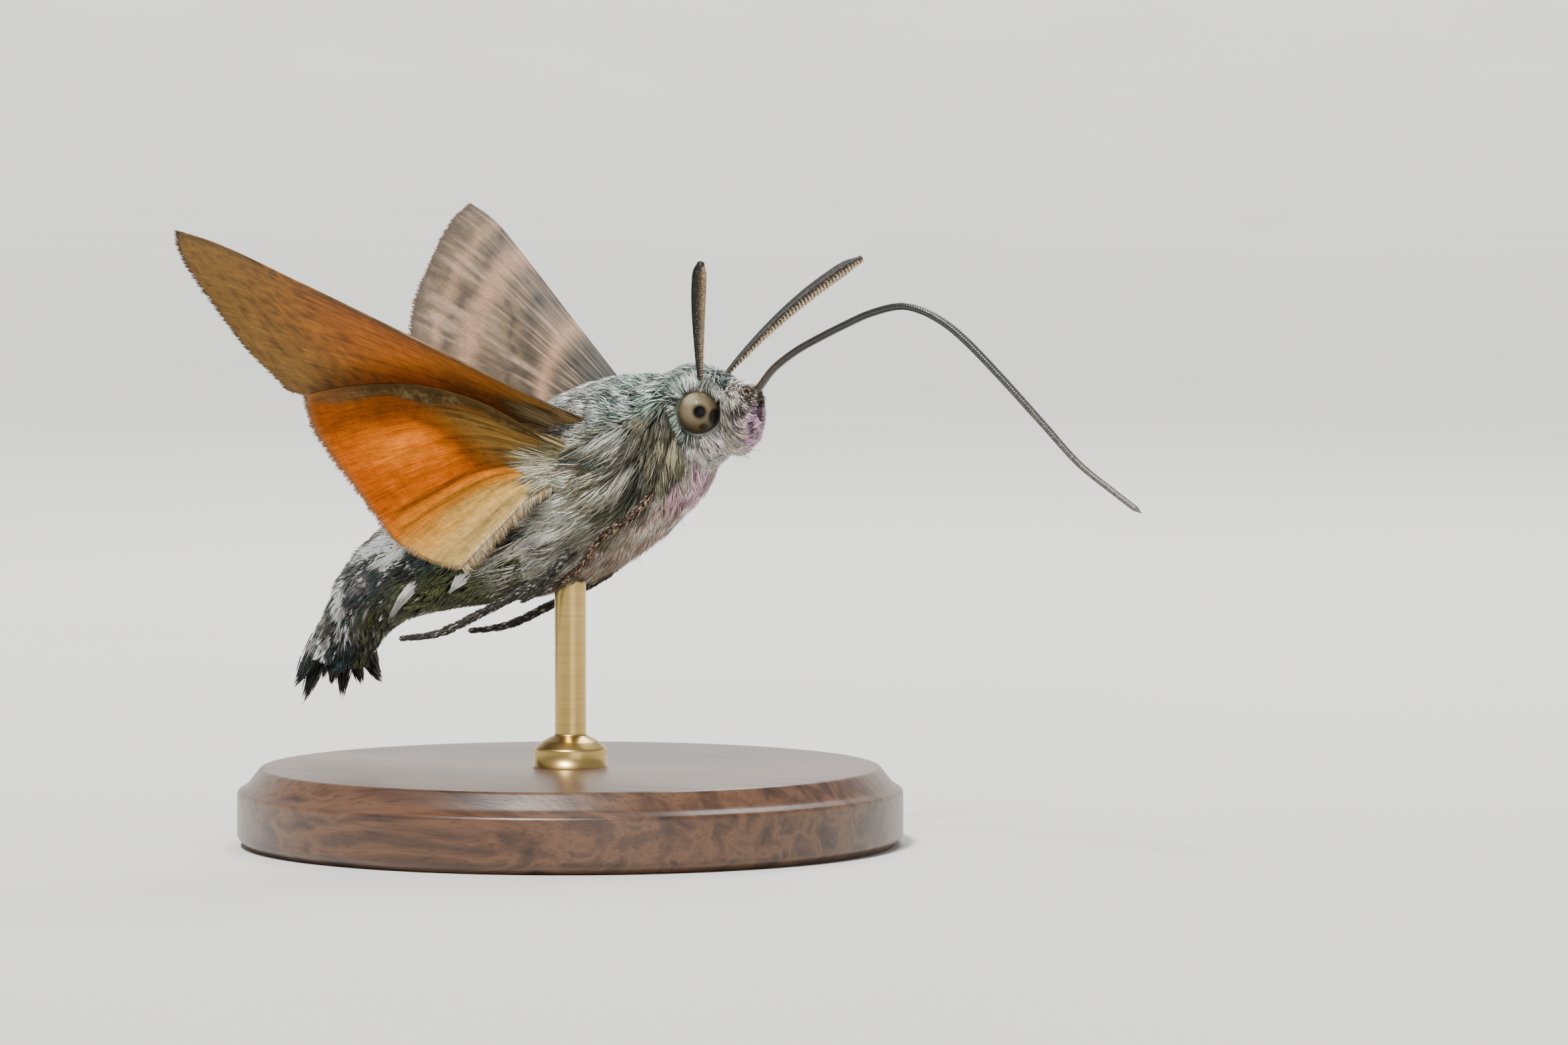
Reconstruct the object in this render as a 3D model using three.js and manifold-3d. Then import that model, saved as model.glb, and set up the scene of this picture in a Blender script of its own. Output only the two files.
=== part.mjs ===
// Hummingbird hawk moth, hovering, life size, held up by a plain display stand.
// Millimetres, +Z up, the head towards +X and the moth's left side towards +Y.
// The origin is the middle of the stand's underside.

import * as THREE from "three";
import Module from "manifold-3d";

const wasm = await Module();
wasm.setup();
const V = (x, y, z) => new THREE.Vector3(x, y, z);
const RIGHT = -1;
const LEFT = 1;
const SIDES = { right: RIGHT, left: LEFT };
const radians = THREE.MathUtils.degToRad;

// Driving dimensions
const gap = 0.3; // clear space between nodes that touch
const flightHeight = 19.6; // of the moth's reference point, a little under its wing roots
const flightForward = 1.6; // of that point, ahead of the stand's middle

const base = { radius: 17, height: 4, foot: 0.5, band: 2.8, step: 0.5, rise: 0.3, edge: 0.7 };
const rod = { radius: 0.8, x: -1.6, footRadius: 1.9, footHeight: 1.2 };

// Trunk: each station is [back x, back z, belly x, belly z, half width], neck first
const trunkStations = [
  [4.27, 4.64, 6.37, -0.43, 2.35],
  [3.47, 4.47, 5.5, -1.79, 3.1],
  [2.46, 4.42, 4.5, -2.76, 3.65],
  [1.25, 4.34, 3.15, -3.94, 3.95],
  [-0.06, 4.02, 1.54, -5.08, 4.05],
  [-1.48, 3.5, -0.08, -5.93, 3.95],
  [-2.81, 2.8, -1.5, -6.47, 3.8],
  [-4.24, 1.86, -3.13, -6.9, 3.65],
  [-5.98, 0.67, -5.18, -7.3, 3.55],
  [-7.84, -0.53, -6.93, -7.55, 3.5],
  [-9.6, -1.73, -8.58, -7.8, 3.35],
  [-11.27, -2.84, -10.03, -8.07, 3.1],
  [-12.83, -3.95, -11.39, -8.45, 2.7],
  [-14.1, -5.1, -12.33, -8.95, 2.3],
  [-15.1, -6.45, -12.96, -9.5, 1.95],
  [-15.85, -7.95, -13.3, -10.0, 1.65],
  [-16.4, -9.2, -13.69, -10.45, 1.5],
  [-16.7, -10.4, -14.0, -11.0, 1.7],
  [-16.4, -11.6, -14.2, -11.6, 2.1],
  [-15.8, -12.5, -14.6, -12.3, 2.3],
];
const trunkSides = 20;
const squareness = 2.2; // exponent of the body sections' superellipse
const stationGap = 0.2; // in stations, which is about the gap in millimetres
const collarEnd = 1.35;
const thoraxEnd = 6.35;
const abdomenEnds = [9.3, 12.4, 16];
const trunkEnd = 19;

// Head and snout: the same kind of station, the back of each first
const headStations = [
  [4.5, 4.62, 6.62, -0.12, 2.0],
  [5.3, 4.98, 7.0, 0.12, 2.05],
  [6.2, 5.0, 7.3, 0.35, 1.95],
  [7.05, 4.85, 7.55, 0.48, 1.75],
  [7.72, 4.4, 7.7, 0.5, 1.5],
];
const snoutStations = [
  [8.05, 4.22, 8.02, 0.52, 1.5],
  [8.5, 4.18, 8.45, 0.65, 1.4],
  [8.95, 4.05, 8.85, 0.98, 1.15],
  [9.25, 3.75, 9.15, 1.5, 0.8],
  [9.4, 3.3, 9.35, 2.2, 0.35],
];
const eye = { radius: 1.09, x: 6.71, y: 1.5, z: 2.66 };

// Antenna: from its socket to its tip, the bow of its middle, and its radius along the way
const antenna = {
  socket: V(6.62, 1.22, 4.3),
  reach: V(3.95, 7.26, 5.95),
  bow: V(-0.17, -0.14, 0.33),
  radii: [0.25, 0.25, 0.27, 0.31, 0.37, 0.42, 0.44, 0.4, 0.25],
  rings: 13,
  ringDepth: 0.035,
};

// Proboscis: its middle line in the midline plane, [x, z], root first
const proboscisLine = [
  [8.75, 3.2],
  [9.44, 4.03],
  [10.2, 4.9],
  [11.45, 5.78],
  [12.85, 6.5],
  [14.2, 7.12],
  [15.6, 7.7],
  [17.2, 8.08],
  [18.4, 7.92],
  [19.75, 7.3],
  [21.1, 6.3],
  [23.0, 4.55],
  [25.2, 2.4],
  [27.2, 0.45],
  [29.25, -1.0],
  [30.6, -1.9],
];
const proboscisRadii = [0.27, 0.27, 0.26, 0.25, 0.25, 0.24, 0.2];
const proboscisCuts = [0, 0.26, 0.5, 0.75, 1]; // shares of the line at the ends of its lengths

// Wings: the forewings' angles in degrees, the left one turned a little more to the rear
const wingAngles = {
  right: { sweep: 40, lift: 25.5, feather: 37 },
  left: { sweep: 33, lift: 28.5, feather: 22 },
};
const membrane = 0.5; // thickness between the veins
const veinHeight = 0.12;

// The forewing's outline in its own plane, [along the span, along the chord] from its hub
const forewing = {
  hub: V(0.68, 3.45, 2.1),
  root: [[-0.9, -0.3], [-0.6, 0.7], [-0.3, 1.7]],
  costa: [[-0.9, -0.3], [4.5, -0.4], [10, -0.5], [16, -0.62], [20, -0.62], [22.3, -0.2]],
  outer: [[22.3, -0.2], [21.75, 0.95], [20.4, 2.4], [18.4, 4.0], [15.9, 5.9], [12.9, 7.5]],
  inner: [[-0.3, 1.7], [3, 3.2], [6.5, 4.8], [10, 6.5], [12.9, 7.5]],
  veins: 8,
  rows: 12,
  camber: 0.5,
};
// The hindwing's outline from the moth's reference point, [x, y, z] on the left side
const hindwing = {
  root: [[0.9, 3.1, 0.65], [0.62, 3.1, 0.1], [0.33, 3.1, -0.5]],
  costa: [
    [0.9, 3.1, 0.65], [-0.9, 4.9, 1.7], [-2.88, 6.2, 3.0], [-4.96, 7.3, 3.8],
    [-6.9, 8.01, 4.1], [-9.5, 8.6, 3.95], [-11.96, 8.73, 3.5],
  ],
  outer: [
    [-11.96, 8.73, 3.5], [-12.2, 7.8, 2.1], [-11.5, 7.3, 0.6], [-10.7, 6.4, -0.95],
    [-10.0, 5.2, -2.7], [-8.9, 4.6, -4.15], [-7.3, 4.3, -4.95], [-5.64, 4.05, -5.35],
  ],
  inner: [
    [0.33, 3.1, -0.5], [-1.2, 4.35, -1.5], [-2.6, 4.35, -2.7], [-4.2, 4.2, -4.1], [-5.64, 4.05, -5.35],
  ],
  veins: 8,
  rows: 10,
  camber: 0.2,
};

// Legs: the middle line of each left leg from its root, and its radius along the way
const legs = {
  foreleg: {
    line: [
      [4.5, 0.9, -0.5], [4.25, 0.9, -2.15], [3.5, 0.9, -3.0], [2.42, 0.9, -3.95],
      [1.2, 0.9, -4.8], [0.0, 0.9, -5.5],
    ],
    radii: [0.36, 0.36, 0.32, 0.3, 0.2],
  },
  midleg: {
    line: [
      [4.6, 1.9, -0.9], [4.05, 3.1, -2.25], [3.2, 3.3, -2.95], [2.2, 3.35, -3.6],
      [1.2, 2.95, -4.55], [0.1, 2.55, -5.5], [-1.5, 2.3, -6.35], [-3.4, 2.0, -7.15],
    ],
    radii: [0.38, 0.36, 0.32, 0.31, 0.29, 0.18],
  },
  hindleg: {
    line: [
      [0.4, 2.0, -3.7], [-0.3, 3.05, -4.85], [-1.1, 3.35, -5.75], [-2.2, 3.45, -6.4], [-3.5, 3.5, -7.05],
      [-5.05, 3.5, -7.8], [-6.8, 3.5, -8.6], [-8.1, 3.5, -8.95], [-9.7, 3.5, -9.15],
    ],
    radii: [0.38, 0.36, 0.34, 0.34, 0.3, 0.18],
  },
};
const legSides = 7;
const farTuck = { midleg: 0.75 }; // how much further back this leg starts on the left side

// Long coat on the thorax's sides, in rows of locks from front to back down each side
const coatDepth = 0.75; // of the thorax's core under the coat's outline
const coat = {
  rows: [1.8, 2.9, 4.0, 5.0],
  angles: [14, -8, -30, -52, -74],
  length: 3.3,
  width: 1.5,
  thickness: 0.5,
  heights: [-1.45, -0.62, -0.3, -0.08], // of its middle line over the outline, root first
  run: 1.5,
  turn: -9,
};
// Tufts of scales on the abdomen's sides: [first station, number, angle, length, turn] by stretch
const tuft = { width: 1.25, thickness: 0.5, heights: [-0.5, 0, 0.22, 0.4], run: 1 };
const tuftRows = {
  front: [[6.9, 2, 8, 2.3, -4], [7.1, 2, -20, 2.3, -8]],
  middle: [[9.7, 2, 14, 2.3, -4], [9.8, 2, -12, 2.3, -20]],
  rear: [[12.9, 2, 14, 2.3, -4], [13.0, 2, -16, 2.2, -12]],
};
// Tail fan: locks from the abdomen's end, spread from side to side in two layers
const fan = {
  coreEnd: 16.9,
  roots: [V(-16.0, 0, -9.9), V(-14.6, 0, -10.3)], // of its back and belly layers
  lobes: [7, 6],
  down: V(-0.12, 0, -1).normalize(),
  across: V(0.25, 1, 0.2).normalize(), // towards its left side, which stands higher
  spread: 32,
  rootWidth: 2.0,
  length: 2.6,
  width: 1.15,
  thickness: 0.55,
};

// Helpers: shapes
function spline(rows, t) {
  const last = rows.length - 1;
  const i = Math.max(0, Math.min(Math.floor(t), last - 1));
  const f = t - i;
  const at = (k) => rows[Math.max(0, Math.min(last, k))];
  return rows[i].map((_, c) => {
    const [p, q, r, s] = [at(i - 1)[c], at(i)[c], at(i + 1)[c], at(i + 2)[c]];
    return q + 0.5 * f * (r - p + f * (2 * p - 5 * q + 4 * r - s + f * (3 * (q - r) + s - p)));
  });
}

// A repeatable random number from 0 to 1.
let seed = 11;
function random() {
  seed = (seed * 16807) % 2147483647;
  return seed / 2147483647;
}

// A closed solid from points and triangles, turned so that its faces point out.
function closed(points, faces) {
  const build = (triangles) =>
    new wasm.Manifold(
      new wasm.Mesh({
        numProp: 3,
        vertProperties: new Float32Array(points.flatMap((p) => [p.x, p.y, p.z])),
        triVerts: new Uint32Array(triangles.flat()),
      }),
    );
  const made = build(faces);
  return made.volume() > 0 ? made : build(faces.map(([a, b, c]) => [a, c, b]));
}

// A closed solid through rings of points. A ring of one point is a tip.
function skin(rings) {
  const faces = [];
  let start = 0;
  for (let r = 0; r + 1 < rings.length; r++) {
    const [a, b] = [rings[r].length, rings[r + 1].length];
    const next = start + a;
    for (let i = 0; i < Math.max(a, b); i++) {
      const j = (i + 1) % Math.max(a, b);
      if (a > 1) faces.push([start + i, start + j, next + (b > 1 ? j : 0)]);
      if (b > 1) faces.push([start + (a > 1 ? i : 0), next + j, next + i]);
    }
    start = next;
  }
  const total = rings.flat().length;
  for (let i = 1; i + 1 < rings[0].length; i++) faces.push([0, i + 1, i]);
  for (let i = 1; i + 1 < rings.at(-1).length; i++) faces.push([start, start + i, start + i + 1]);
  return total ? closed(rings.flat(), faces) : null;
}

// Points along a smooth line through the given ones.
function along(line, count, from = 0, to = 1) {
  const curve = new THREE.CatmullRomCurve3(line);
  return Array.from({ length: count + 1 }, (_, i) => curve.getPointAt(from + ((to - from) * i) / count));
}

// A tube round a line of points. radiusAt takes the share of the way along it.
function tube(points, radiusAt, sides, pointed = false) {
  const rings = [];
  let side = V(0, 1, 0);
  points.forEach((p, i) => {
    const ahead = points[Math.min(i + 1, points.length - 1)];
    const behind = points[Math.max(i - 1, 0)];
    const way = ahead.clone().sub(behind).normalize();
    side = side.clone().addScaledVector(way, -side.dot(way)).normalize();
    const up = way.clone().cross(side);
    const r = radiusAt(i / (points.length - 1), i);
    rings.push(
      Array.from({ length: sides }, (_, k) => {
        const a = (2 * Math.PI * k) / sides;
        return p.clone().addScaledVector(side, r * Math.cos(a)).addScaledVector(up, r * Math.sin(a));
      }),
    );
  });
  if (pointed) rings[rings.length - 1] = [points.at(-1)];
  return skin(rings);
}

const joined = (solids) => solids.reduce((a, b) => a.add(b));
const cut = (solid, ...tools) => tools.reduce((a, b) => a.subtract(b), solid);
const largest = (solid) => solid.decompose().reduce((a, b) => (b.volume() > a.volume() ? b : a));

// Helpers: the surface of the trunk and head
const squared = (c) => Math.sign(c) * Math.abs(c) ** (2 / squareness);

// A point on the surface through the stations. Angle 0 is the left side and 90 the back.
function bodyPoint(stations, t, angle, grow) {
  const [tx, tz, bx, bz, w] = spline(stations, t);
  const half = Math.hypot(tx - bx, tz - bz) / 2;
  const rise = squared(Math.sin(radians(angle))) * (1 + grow / half);
  return V(
    (tx + bx) / 2 + ((tx - bx) / 2) * rise,
    (w + grow) * squared(Math.cos(radians(angle))),
    (tz + bz) / 2 + ((tz - bz) / 2) * rise,
  );
}

function bodyNormal(stations, t, angle) {
  const step = 0.05;
  const alongBody = bodyPoint(stations, t + step, angle, 0).sub(bodyPoint(stations, t - step, angle, 0));
  const round = bodyPoint(stations, t, angle + 2, 0).sub(bodyPoint(stations, t, angle - 2, 0));
  const out = alongBody.cross(round).normalize();
  const from = bodyPoint(stations, t, angle, 0).sub(bodyPoint(stations, t, angle + 180, 0));
  return out.dot(from) < 0 ? out.negate() : out;
}

// A stretch of the trunk or head between two stations, grown by what growAt gives at each point.
function stretch(stations, from, to, steps, growAt, sides = trunkSides) {
  return skin(
    Array.from({ length: steps + 1 }, (_, i) => {
      const t = from + ((to - from) * i) / steps;
      return Array.from({ length: sides }, (_, k) => {
        const angle = (360 * (k + 0.5)) / sides;
        return bodyPoint(stations, t, angle, growAt(t, angle));
      });
    }),
  );
}

// Helpers: flat tapered locks
// A lock has three sections of four corners, at its root, middle and shoulder, and a tip.
// Its outer face is narrower than its inner one.
function blade(path, normals, width, thickness) {
  const shares = [0.7, 1, 0.72];
  const corners = [[1, -1], [0.66, 1], [-0.66, 1], [-1, -1]];
  const rings = shares.map((share, i) => {
    const way = path[i + 1].clone().sub(path[i]).normalize();
    const across = way.clone().cross(normals[i]).normalize();
    return corners.map(([a, b]) => {
      const corner = path[i].clone().addScaledVector(across, (a * width * share) / 2);
      return corner.addScaledVector(normals[i], (b * thickness) / 2);
    });
  });
  return skin([...rings, [path[3]]]);
}

// A lock that lies along the trunk from a station and an angle, and bends with it.
function trunkLock(t, angle, size) {
  const end = bodyPoint(trunkStations, t + size.run, angle + size.turn, 0);
  const scale = size.length / bodyPoint(trunkStations, t, angle, 0).distanceTo(end);
  const normals = [];
  const path = [0, 0.33, 0.68, 1].map((share, i) => {
    const [u, a] = [t + size.run * scale * share, angle + size.turn * scale * share];
    normals.push(bodyNormal(trunkStations, u, a));
    return bodyPoint(trunkStations, u, a, 0).addScaledVector(normals.at(-1), size.heights[i]);
  });
  return blade(path, normals, size.width, size.thickness);
}

// Helpers: wings
// The span and chord directions of a forewing, from its angles. Its chord runs to its inner edge.
function wingAxes(side, { sweep, lift, feather }) {
  const [w, r, f] = [radians(sweep), radians(lift), radians(feather)];
  const span = V(-Math.cos(r) * Math.cos(w), side * Math.cos(r) * Math.sin(w), Math.sin(r));
  const level = V(-Math.sin(w), -side * Math.cos(w), 0);
  const above = span.clone().cross(level).multiplyScalar(side);
  const chord = level.multiplyScalar(Math.cos(f)).addScaledVector(above, -Math.sin(f));
  return { span, chord, above: span.clone().cross(chord).multiplyScalar(side) };
}

// A point between four edges: u runs from the root to the outer edge, v from costa to inner edge.
function patch(wing, u, v) {
  const at = (edge, s) => spline(edge, s * (edge.length - 1));
  const [front, rear] = [at(wing.costa, u), at(wing.inner, u)];
  const [near, far] = [at(wing.root, v), at(wing.outer, v)];
  return front.map((_, k) => {
    const corners =
      (1 - v) * ((1 - u) * wing.root[0][k] + u * wing.outer[0][k]) +
      v * ((1 - u) * wing.root.at(-1)[k] + u * wing.outer.at(-1)[k]);
    return (1 - v) * front[k] + v * rear[k] + (1 - u) * near[k] + u * far[k] - corners;
  });
}

const bulge = (u, v) => Math.sin(Math.PI * v) * Math.sin(Math.PI * (0.15 + 0.85 * u));

function forewingPoint(side, u, v) {
  const { span, chord, above } = wingAxes(side, side === LEFT ? wingAngles.left : wingAngles.right);
  const [a, b] = patch(forewing, u, v);
  return forewing.hub.clone().multiply(V(1, side, 1))
    .addScaledVector(span, a)
    .addScaledVector(chord, b)
    .addScaledVector(above, forewing.camber * bulge(u, v));
}

function hindwingPoint(side, u, v) {
  const [x, y, z] = patch(hindwing, u, v);
  const swell = hindwing.camber * bulge(u, v);
  return V(x - swell, side * (y - swell / 2), z + swell);
}

// A thin closed sheet over a wing, with its veins raised as ridges on both faces.
function wingSheet(wing, pointAt, grow = 0) {
  const columns = 2 * wing.veins;
  const reach = grow / 12;
  const faces = [];
  const tops = [];
  const unders = [];
  for (let r = 0; r <= wing.rows; r++) {
    for (let c = 0; c <= columns; c++) {
      const [u, v] = [r / wing.rows, c / columns].map((s) => -reach + (1 + 2 * reach) * s);
      const step = 0.01;
      const du = pointAt(u + step, v).sub(pointAt(u - step, v));
      const dv = pointAt(u, v + step).sub(pointAt(u, v - step));
      const normal = du.cross(dv).normalize();
      const vein = c % 2 ? veinHeight * Math.min(1, 1.25 - r / wing.rows) : 0;
      const half = membrane / 2 + vein + grow;
      tops.push(pointAt(u, v).addScaledVector(normal, half));
      unders.push(pointAt(u, v).addScaledVector(normal, -half));
    }
  }
  const count = tops.length;
  const at = (r, c) => r * (columns + 1) + c;
  const quad = (a, b, c, d) => faces.push([a, b, c], [a, c, d]);
  for (let r = 0; r < wing.rows; r++) {
    for (let c = 0; c < columns; c++) {
      const [a, b, d, e] = [at(r, c), at(r + 1, c), at(r + 1, c + 1), at(r, c + 1)];
      faces.push([a, b, d], [a, d, e]);
      faces.push([count + a, count + d, count + b], [count + a, count + e, count + d]);
    }
    quad(at(r, 0), count + at(r, 0), count + at(r + 1, 0), at(r + 1, 0));
    quad(at(r + 1, columns), count + at(r + 1, columns), count + at(r, columns), at(r, columns));
  }
  for (let c = 0; c < columns; c++) {
    quad(at(0, c + 1), count + at(0, c + 1), count + at(0, c), at(0, c));
    quad(at(wing.rows, c), count + at(wing.rows, c), count + at(wing.rows, c + 1), at(wing.rows, c + 1));
  }
  return closed([...tops, ...unders], faces);
}

// Materials
const finish = (color, roughness, metalness = 0) =>
  new THREE.MeshStandardMaterial({ color, roughness, metalness });
const finishes = {
  coat: finish(0x8f8d7c, 0.9),
  darkCoat: finish(0x3a3b33, 0.9),
  paleCoat: finish(0xc9bfb0, 0.9),
  eyes: finish(0xa08c66, 0.25),
  feelers: finish(0x4a3d30, 0.7),
  tongue: finish(0x2f2f2a, 0.5),
  forewings: finish(0x8a5a30, 0.8),
  hindwings: finish(0xd8772a, 0.8),
  legs: finish(0x5a4c3c, 0.8),
  wood: finish(0x4a3222, 0.5),
  metal: finish(0xb9b6ae, 0.35, 1),
};

const moth = new THREE.Group();
moth.position.set(flightForward, 0, flightHeight);
const stand = new THREE.Group();
const object = new THREE.Group();
object.add(moth, stand);

function addNode(name, solid, material, group = moth) {
  const mesh = largest(solid).getMesh();
  const geometry = new THREE.BufferGeometry();
  geometry.setAttribute("position", new THREE.BufferAttribute(new Float32Array(mesh.vertProperties), 3));
  geometry.setIndex(new THREE.BufferAttribute(new Uint32Array(mesh.triVerts), 1));
  const flat = geometry.toNonIndexed();
  flat.computeVertexNormals();
  const node = new THREE.Mesh(flat, material);
  node.name = name;
  group.add(node);
}

// Trunk: the core of the thorax stands back under its coat, except on its back
const none = () => 0;
const coatShare = (angle) => THREE.MathUtils.smoothstep(-Math.sin(radians(angle)), -0.85, -0.3);
const coreGrow = (t, angle) => (t > collarEnd && t < thoraxEnd + 0.1 ? -coatDepth * coatShare(angle) : 0);
const trunkRoom = stretch(trunkStations, 0, trunkEnd, 34, (t, angle) => coreGrow(t, angle) + gap);
const roomBehind = (t) => stretch(trunkStations, t, trunkEnd, 24, () => gap + 0.05);

// Wings, and the room that each wing, leg and the rod keeps clear
const wingKinds = [["forewing", forewing, forewingPoint], ["hindwing", hindwing, hindwingPoint]];
const rooms = [];
for (const [name, side] of Object.entries(SIDES)) {
  for (const [wingName, wing, point] of wingKinds) {
    const pointAt = (u, v) => point(side, u, v);
    const room = wingSheet({ ...wing, veins: 2, rows: 5 }, pointAt, gap + veinHeight);
    addNode(wingName + "_" + name, cut(wingSheet(wing, pointAt), trunkRoom), finishes[wingName + "s"]);
    rooms.push(room);
  }
}

// Legs
const radiusAlong = (radii, s) => spline(radii.map((r) => [r]), s * (radii.length - 1))[0];
for (const [legName, leg] of Object.entries(legs)) {
  for (const [name, side] of Object.entries(SIDES)) {
    const tuck = side === LEFT ? farTuck[legName] || 0 : 0;
    const line = leg.line.map(([x, y, z], i) => {
      const share = i / (leg.line.length - 1);
      return V(x - tuck * (1 - share * share), side * y, z);
    });
    const solid = tube(along(line, 14), (s) => radiusAlong(leg.radii, s), legSides, true);
    addNode(legName + "_" + name, cut(solid, trunkRoom), finishes.legs);
    rooms.push(tube(along(line, 7), (s) => radiusAlong(leg.radii, s) + gap + 0.1, 6));
  }
}
rooms.push(tube([V(rod.x, 0, -12), V(rod.x, 0, -6), V(rod.x, 0, -2)], () => rod.radius + gap, 12));

// Coat, tufts and tail fan
const vary = (share) => 1 + share * (2 * random() - 1);
const mirrored = (side, angle) => (side === LEFT ? angle : 180 - angle);

function coatLocks(side) {
  return coat.rows.flatMap((t, row) =>
    coat.angles.map((angle) => {
      const shift = row % 2 ? 11 : 0;
      return trunkLock(t + 0.2 * (random() - 0.5), mirrored(side, angle - shift + 4 * random()), {
        ...coat,
        length: coat.length * vary(0.12),
        turn: side * coat.turn * vary(0.5),
      });
    }),
  );
}

function tufts(rows, side) {
  return rows.flatMap(([first, number, angle, length, turn]) =>
    Array.from({ length: number }, (_, i) =>
      trunkLock(first + i, mirrored(side, angle - 5 * i), {
        ...tuft,
        length: length * vary(0.1),
        turn: side * turn,
      }),
    ),
  );
}

function fanLobes() {
  return fan.roots.flatMap((root, layer) =>
    Array.from({ length: fan.lobes[layer] }, (_, i) => {
      const share = (2 * i) / (fan.lobes[layer] - 1) - 1;
      const angle = radians(share * fan.spread);
      const way = fan.down.clone().multiplyScalar(Math.cos(angle));
      way.addScaledVector(fan.across, Math.sin(angle));
      const first = root.clone().addScaledVector(fan.across, (share * fan.rootWidth) / 2);
      const length = fan.length * vary(0.14) * (1 - 0.1 * layer);
      const bend = fan.across.clone().cross(fan.down).multiplyScalar(layer ? -0.3 : 0.3);
      const path = [0, 0.36, 0.68, 1].map((s) =>
        first.clone().addScaledVector(way, s * length).addScaledVector(bend, s * s));
      const normal = fan.across.clone().cross(way).normalize();
      return blade(path, [normal, normal, normal], fan.width * vary(0.1), fan.thickness);
    }),
  );
}

const bothSides = (make) => [...make(RIGHT), ...make(LEFT)];
addNode("collar", stretch(trunkStations, 0, collarEnd, 3, none), finishes.coat);
const thoraxCore = stretch(trunkStations, collarEnd + stationGap, thoraxEnd, 8, coreGrow);
addNode("thorax", cut(
  joined([thoraxCore, ...bothSides(coatLocks)]), roomBehind(thoraxEnd), ...rooms,
), finishes.coat);

let start = thoraxEnd + stationGap;
Object.keys(tuftRows).forEach((name, i) => {
  const end = abdomenEnds[i];
  const core = stretch(trunkStations, start, end, 5, none);
  const locks = bothSides((side) => tufts(tuftRows[name], side));
  addNode("abdomen_" + name, cut(joined([core, ...locks]), roomBehind(end), ...rooms), finishes.darkCoat);
  start = end + stationGap;
});
const fanCore = stretch(trunkStations, start, fan.coreEnd, 3, none);
const rearRoom = stretch(trunkStations, abdomenEnds[1], start, 8, () => gap);
addNode("tail_fan", cut(joined([fanCore, ...fanLobes()]), rearRoom), finishes.darkCoat);

// Proboscis, in lengths
const proboscisPoints = proboscisLine.map(([x, z]) => V(x, 0, z));
const proboscisLength = new THREE.CatmullRomCurve3(proboscisPoints).getLength();
const proboscisRoom = tube(along(proboscisPoints, 8, 0, 0.2), () => proboscisRadii[0] + gap, 8);
["root", "rise", "arch", "tip"].forEach((name, i) => {
  const halfGap = gap / 2 / proboscisLength;
  const from = proboscisCuts[i] + (i > 0 ? halfGap : 0);
  const to = proboscisCuts[i + 1] - (i < 3 ? halfGap : 0);
  const radiusAt = (s) => radiusAlong(proboscisRadii, from + (to - from) * s);
  const points = along(proboscisPoints, 11, from, to);
  addNode("proboscis_" + name, tube(points, radiusAt, 7, i === 3), finishes.tongue);
});

// Eyes, antennae and palps, and the head that they sit in
function eyeball(side, grow) {
  const [rounds, slices] = [10, 16];
  const r = eye.radius + grow;
  const middle = V(eye.x, side * eye.y, eye.z);
  const rings = Array.from({ length: rounds - 1 }, (_, i) =>
    Array.from({ length: slices }, (_, k) => {
      const [a, b] = [(Math.PI * (i + 1)) / rounds, (2 * Math.PI * k) / slices];
      const way = V(Math.sin(a) * Math.cos(b), Math.sin(a) * Math.sin(b), Math.cos(a));
      return way.multiplyScalar(r).add(middle);
    }));
  return skin([[V(0, 0, r).add(middle)], ...rings, [V(0, 0, -r).add(middle)]]);
}

function antennaTube(side, grow, rings) {
  const turn = V(1, side, 1);
  const reach = antenna.reach.clone().multiply(turn);
  const bow = antenna.bow.clone().multiply(turn);
  const first = antenna.socket.clone().multiply(turn).addScaledVector(reach, -grow / reach.length());
  const middle = first.clone().addScaledVector(reach, 0.5).addScaledVector(bow, 2);
  const curve = new THREE.QuadraticBezierCurve3(first, middle, first.clone().add(reach));
  const points = curve.getPoints(2 * rings);
  return tube(points, (s, i) => radiusAlong(antenna.radii, s) + grow + (i % 2) * antenna.ringDepth, 8);
}

const snout = cut(stretch(snoutStations, 0, 4, 8, none, 20), proboscisRoom);
let head = stretch(headStations, 0, 4, 8, none, 20);
for (const [name, side] of Object.entries(SIDES)) {
  addNode("eye_" + name, eyeball(side, 0), finishes.eyes);
  addNode("antenna_" + name, antennaTube(side, 0, antenna.rings), finishes.feelers);
  addNode("palp_" + name, snout.trimByPlane([0, side, 0], gap / 2), finishes.paleCoat);
  head = cut(head, eyeball(side, gap), antennaTube(side, gap, 4));
}
addNode("head", cut(head, proboscisRoom), finishes.coat);

// Stand, in its own frame: the origin is the middle of its underside
function turned(profile, x, sides) {
  return skin(profile.map(([r, z]) =>
    Array.from({ length: sides }, (_, k) => {
      const a = (2 * Math.PI * k) / sides;
      return V(x + r * Math.cos(a), r * Math.sin(a), z);
    })));
}

const rodX = flightForward + rod.x;
addNode("stand_base", turned([
  [base.radius - base.foot, 0],
  [base.radius, base.foot],
  [base.radius, base.band],
  [base.radius - base.step, base.band + base.rise],
  [base.radius - base.step - base.edge, base.height],
], 0, 48), finishes.wood, stand);
const foot = base.height + gap;
addNode("stand_rod", cut(turned([
  [rod.footRadius, foot],
  [rod.footRadius, foot + rod.footHeight - 0.3],
  [rod.footRadius - 0.3, foot + rod.footHeight],
  [rod.radius, foot + rod.footHeight + 0.2],
  [rod.radius, flightHeight],
], rodX, 24), trunkRoom.translate([flightForward, 0, flightHeight])), finishes.metal, stand);

export default object;
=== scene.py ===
import math

import bpy
import numpy as np
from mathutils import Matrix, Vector
from mathutils.kdtree import KDTree


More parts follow.
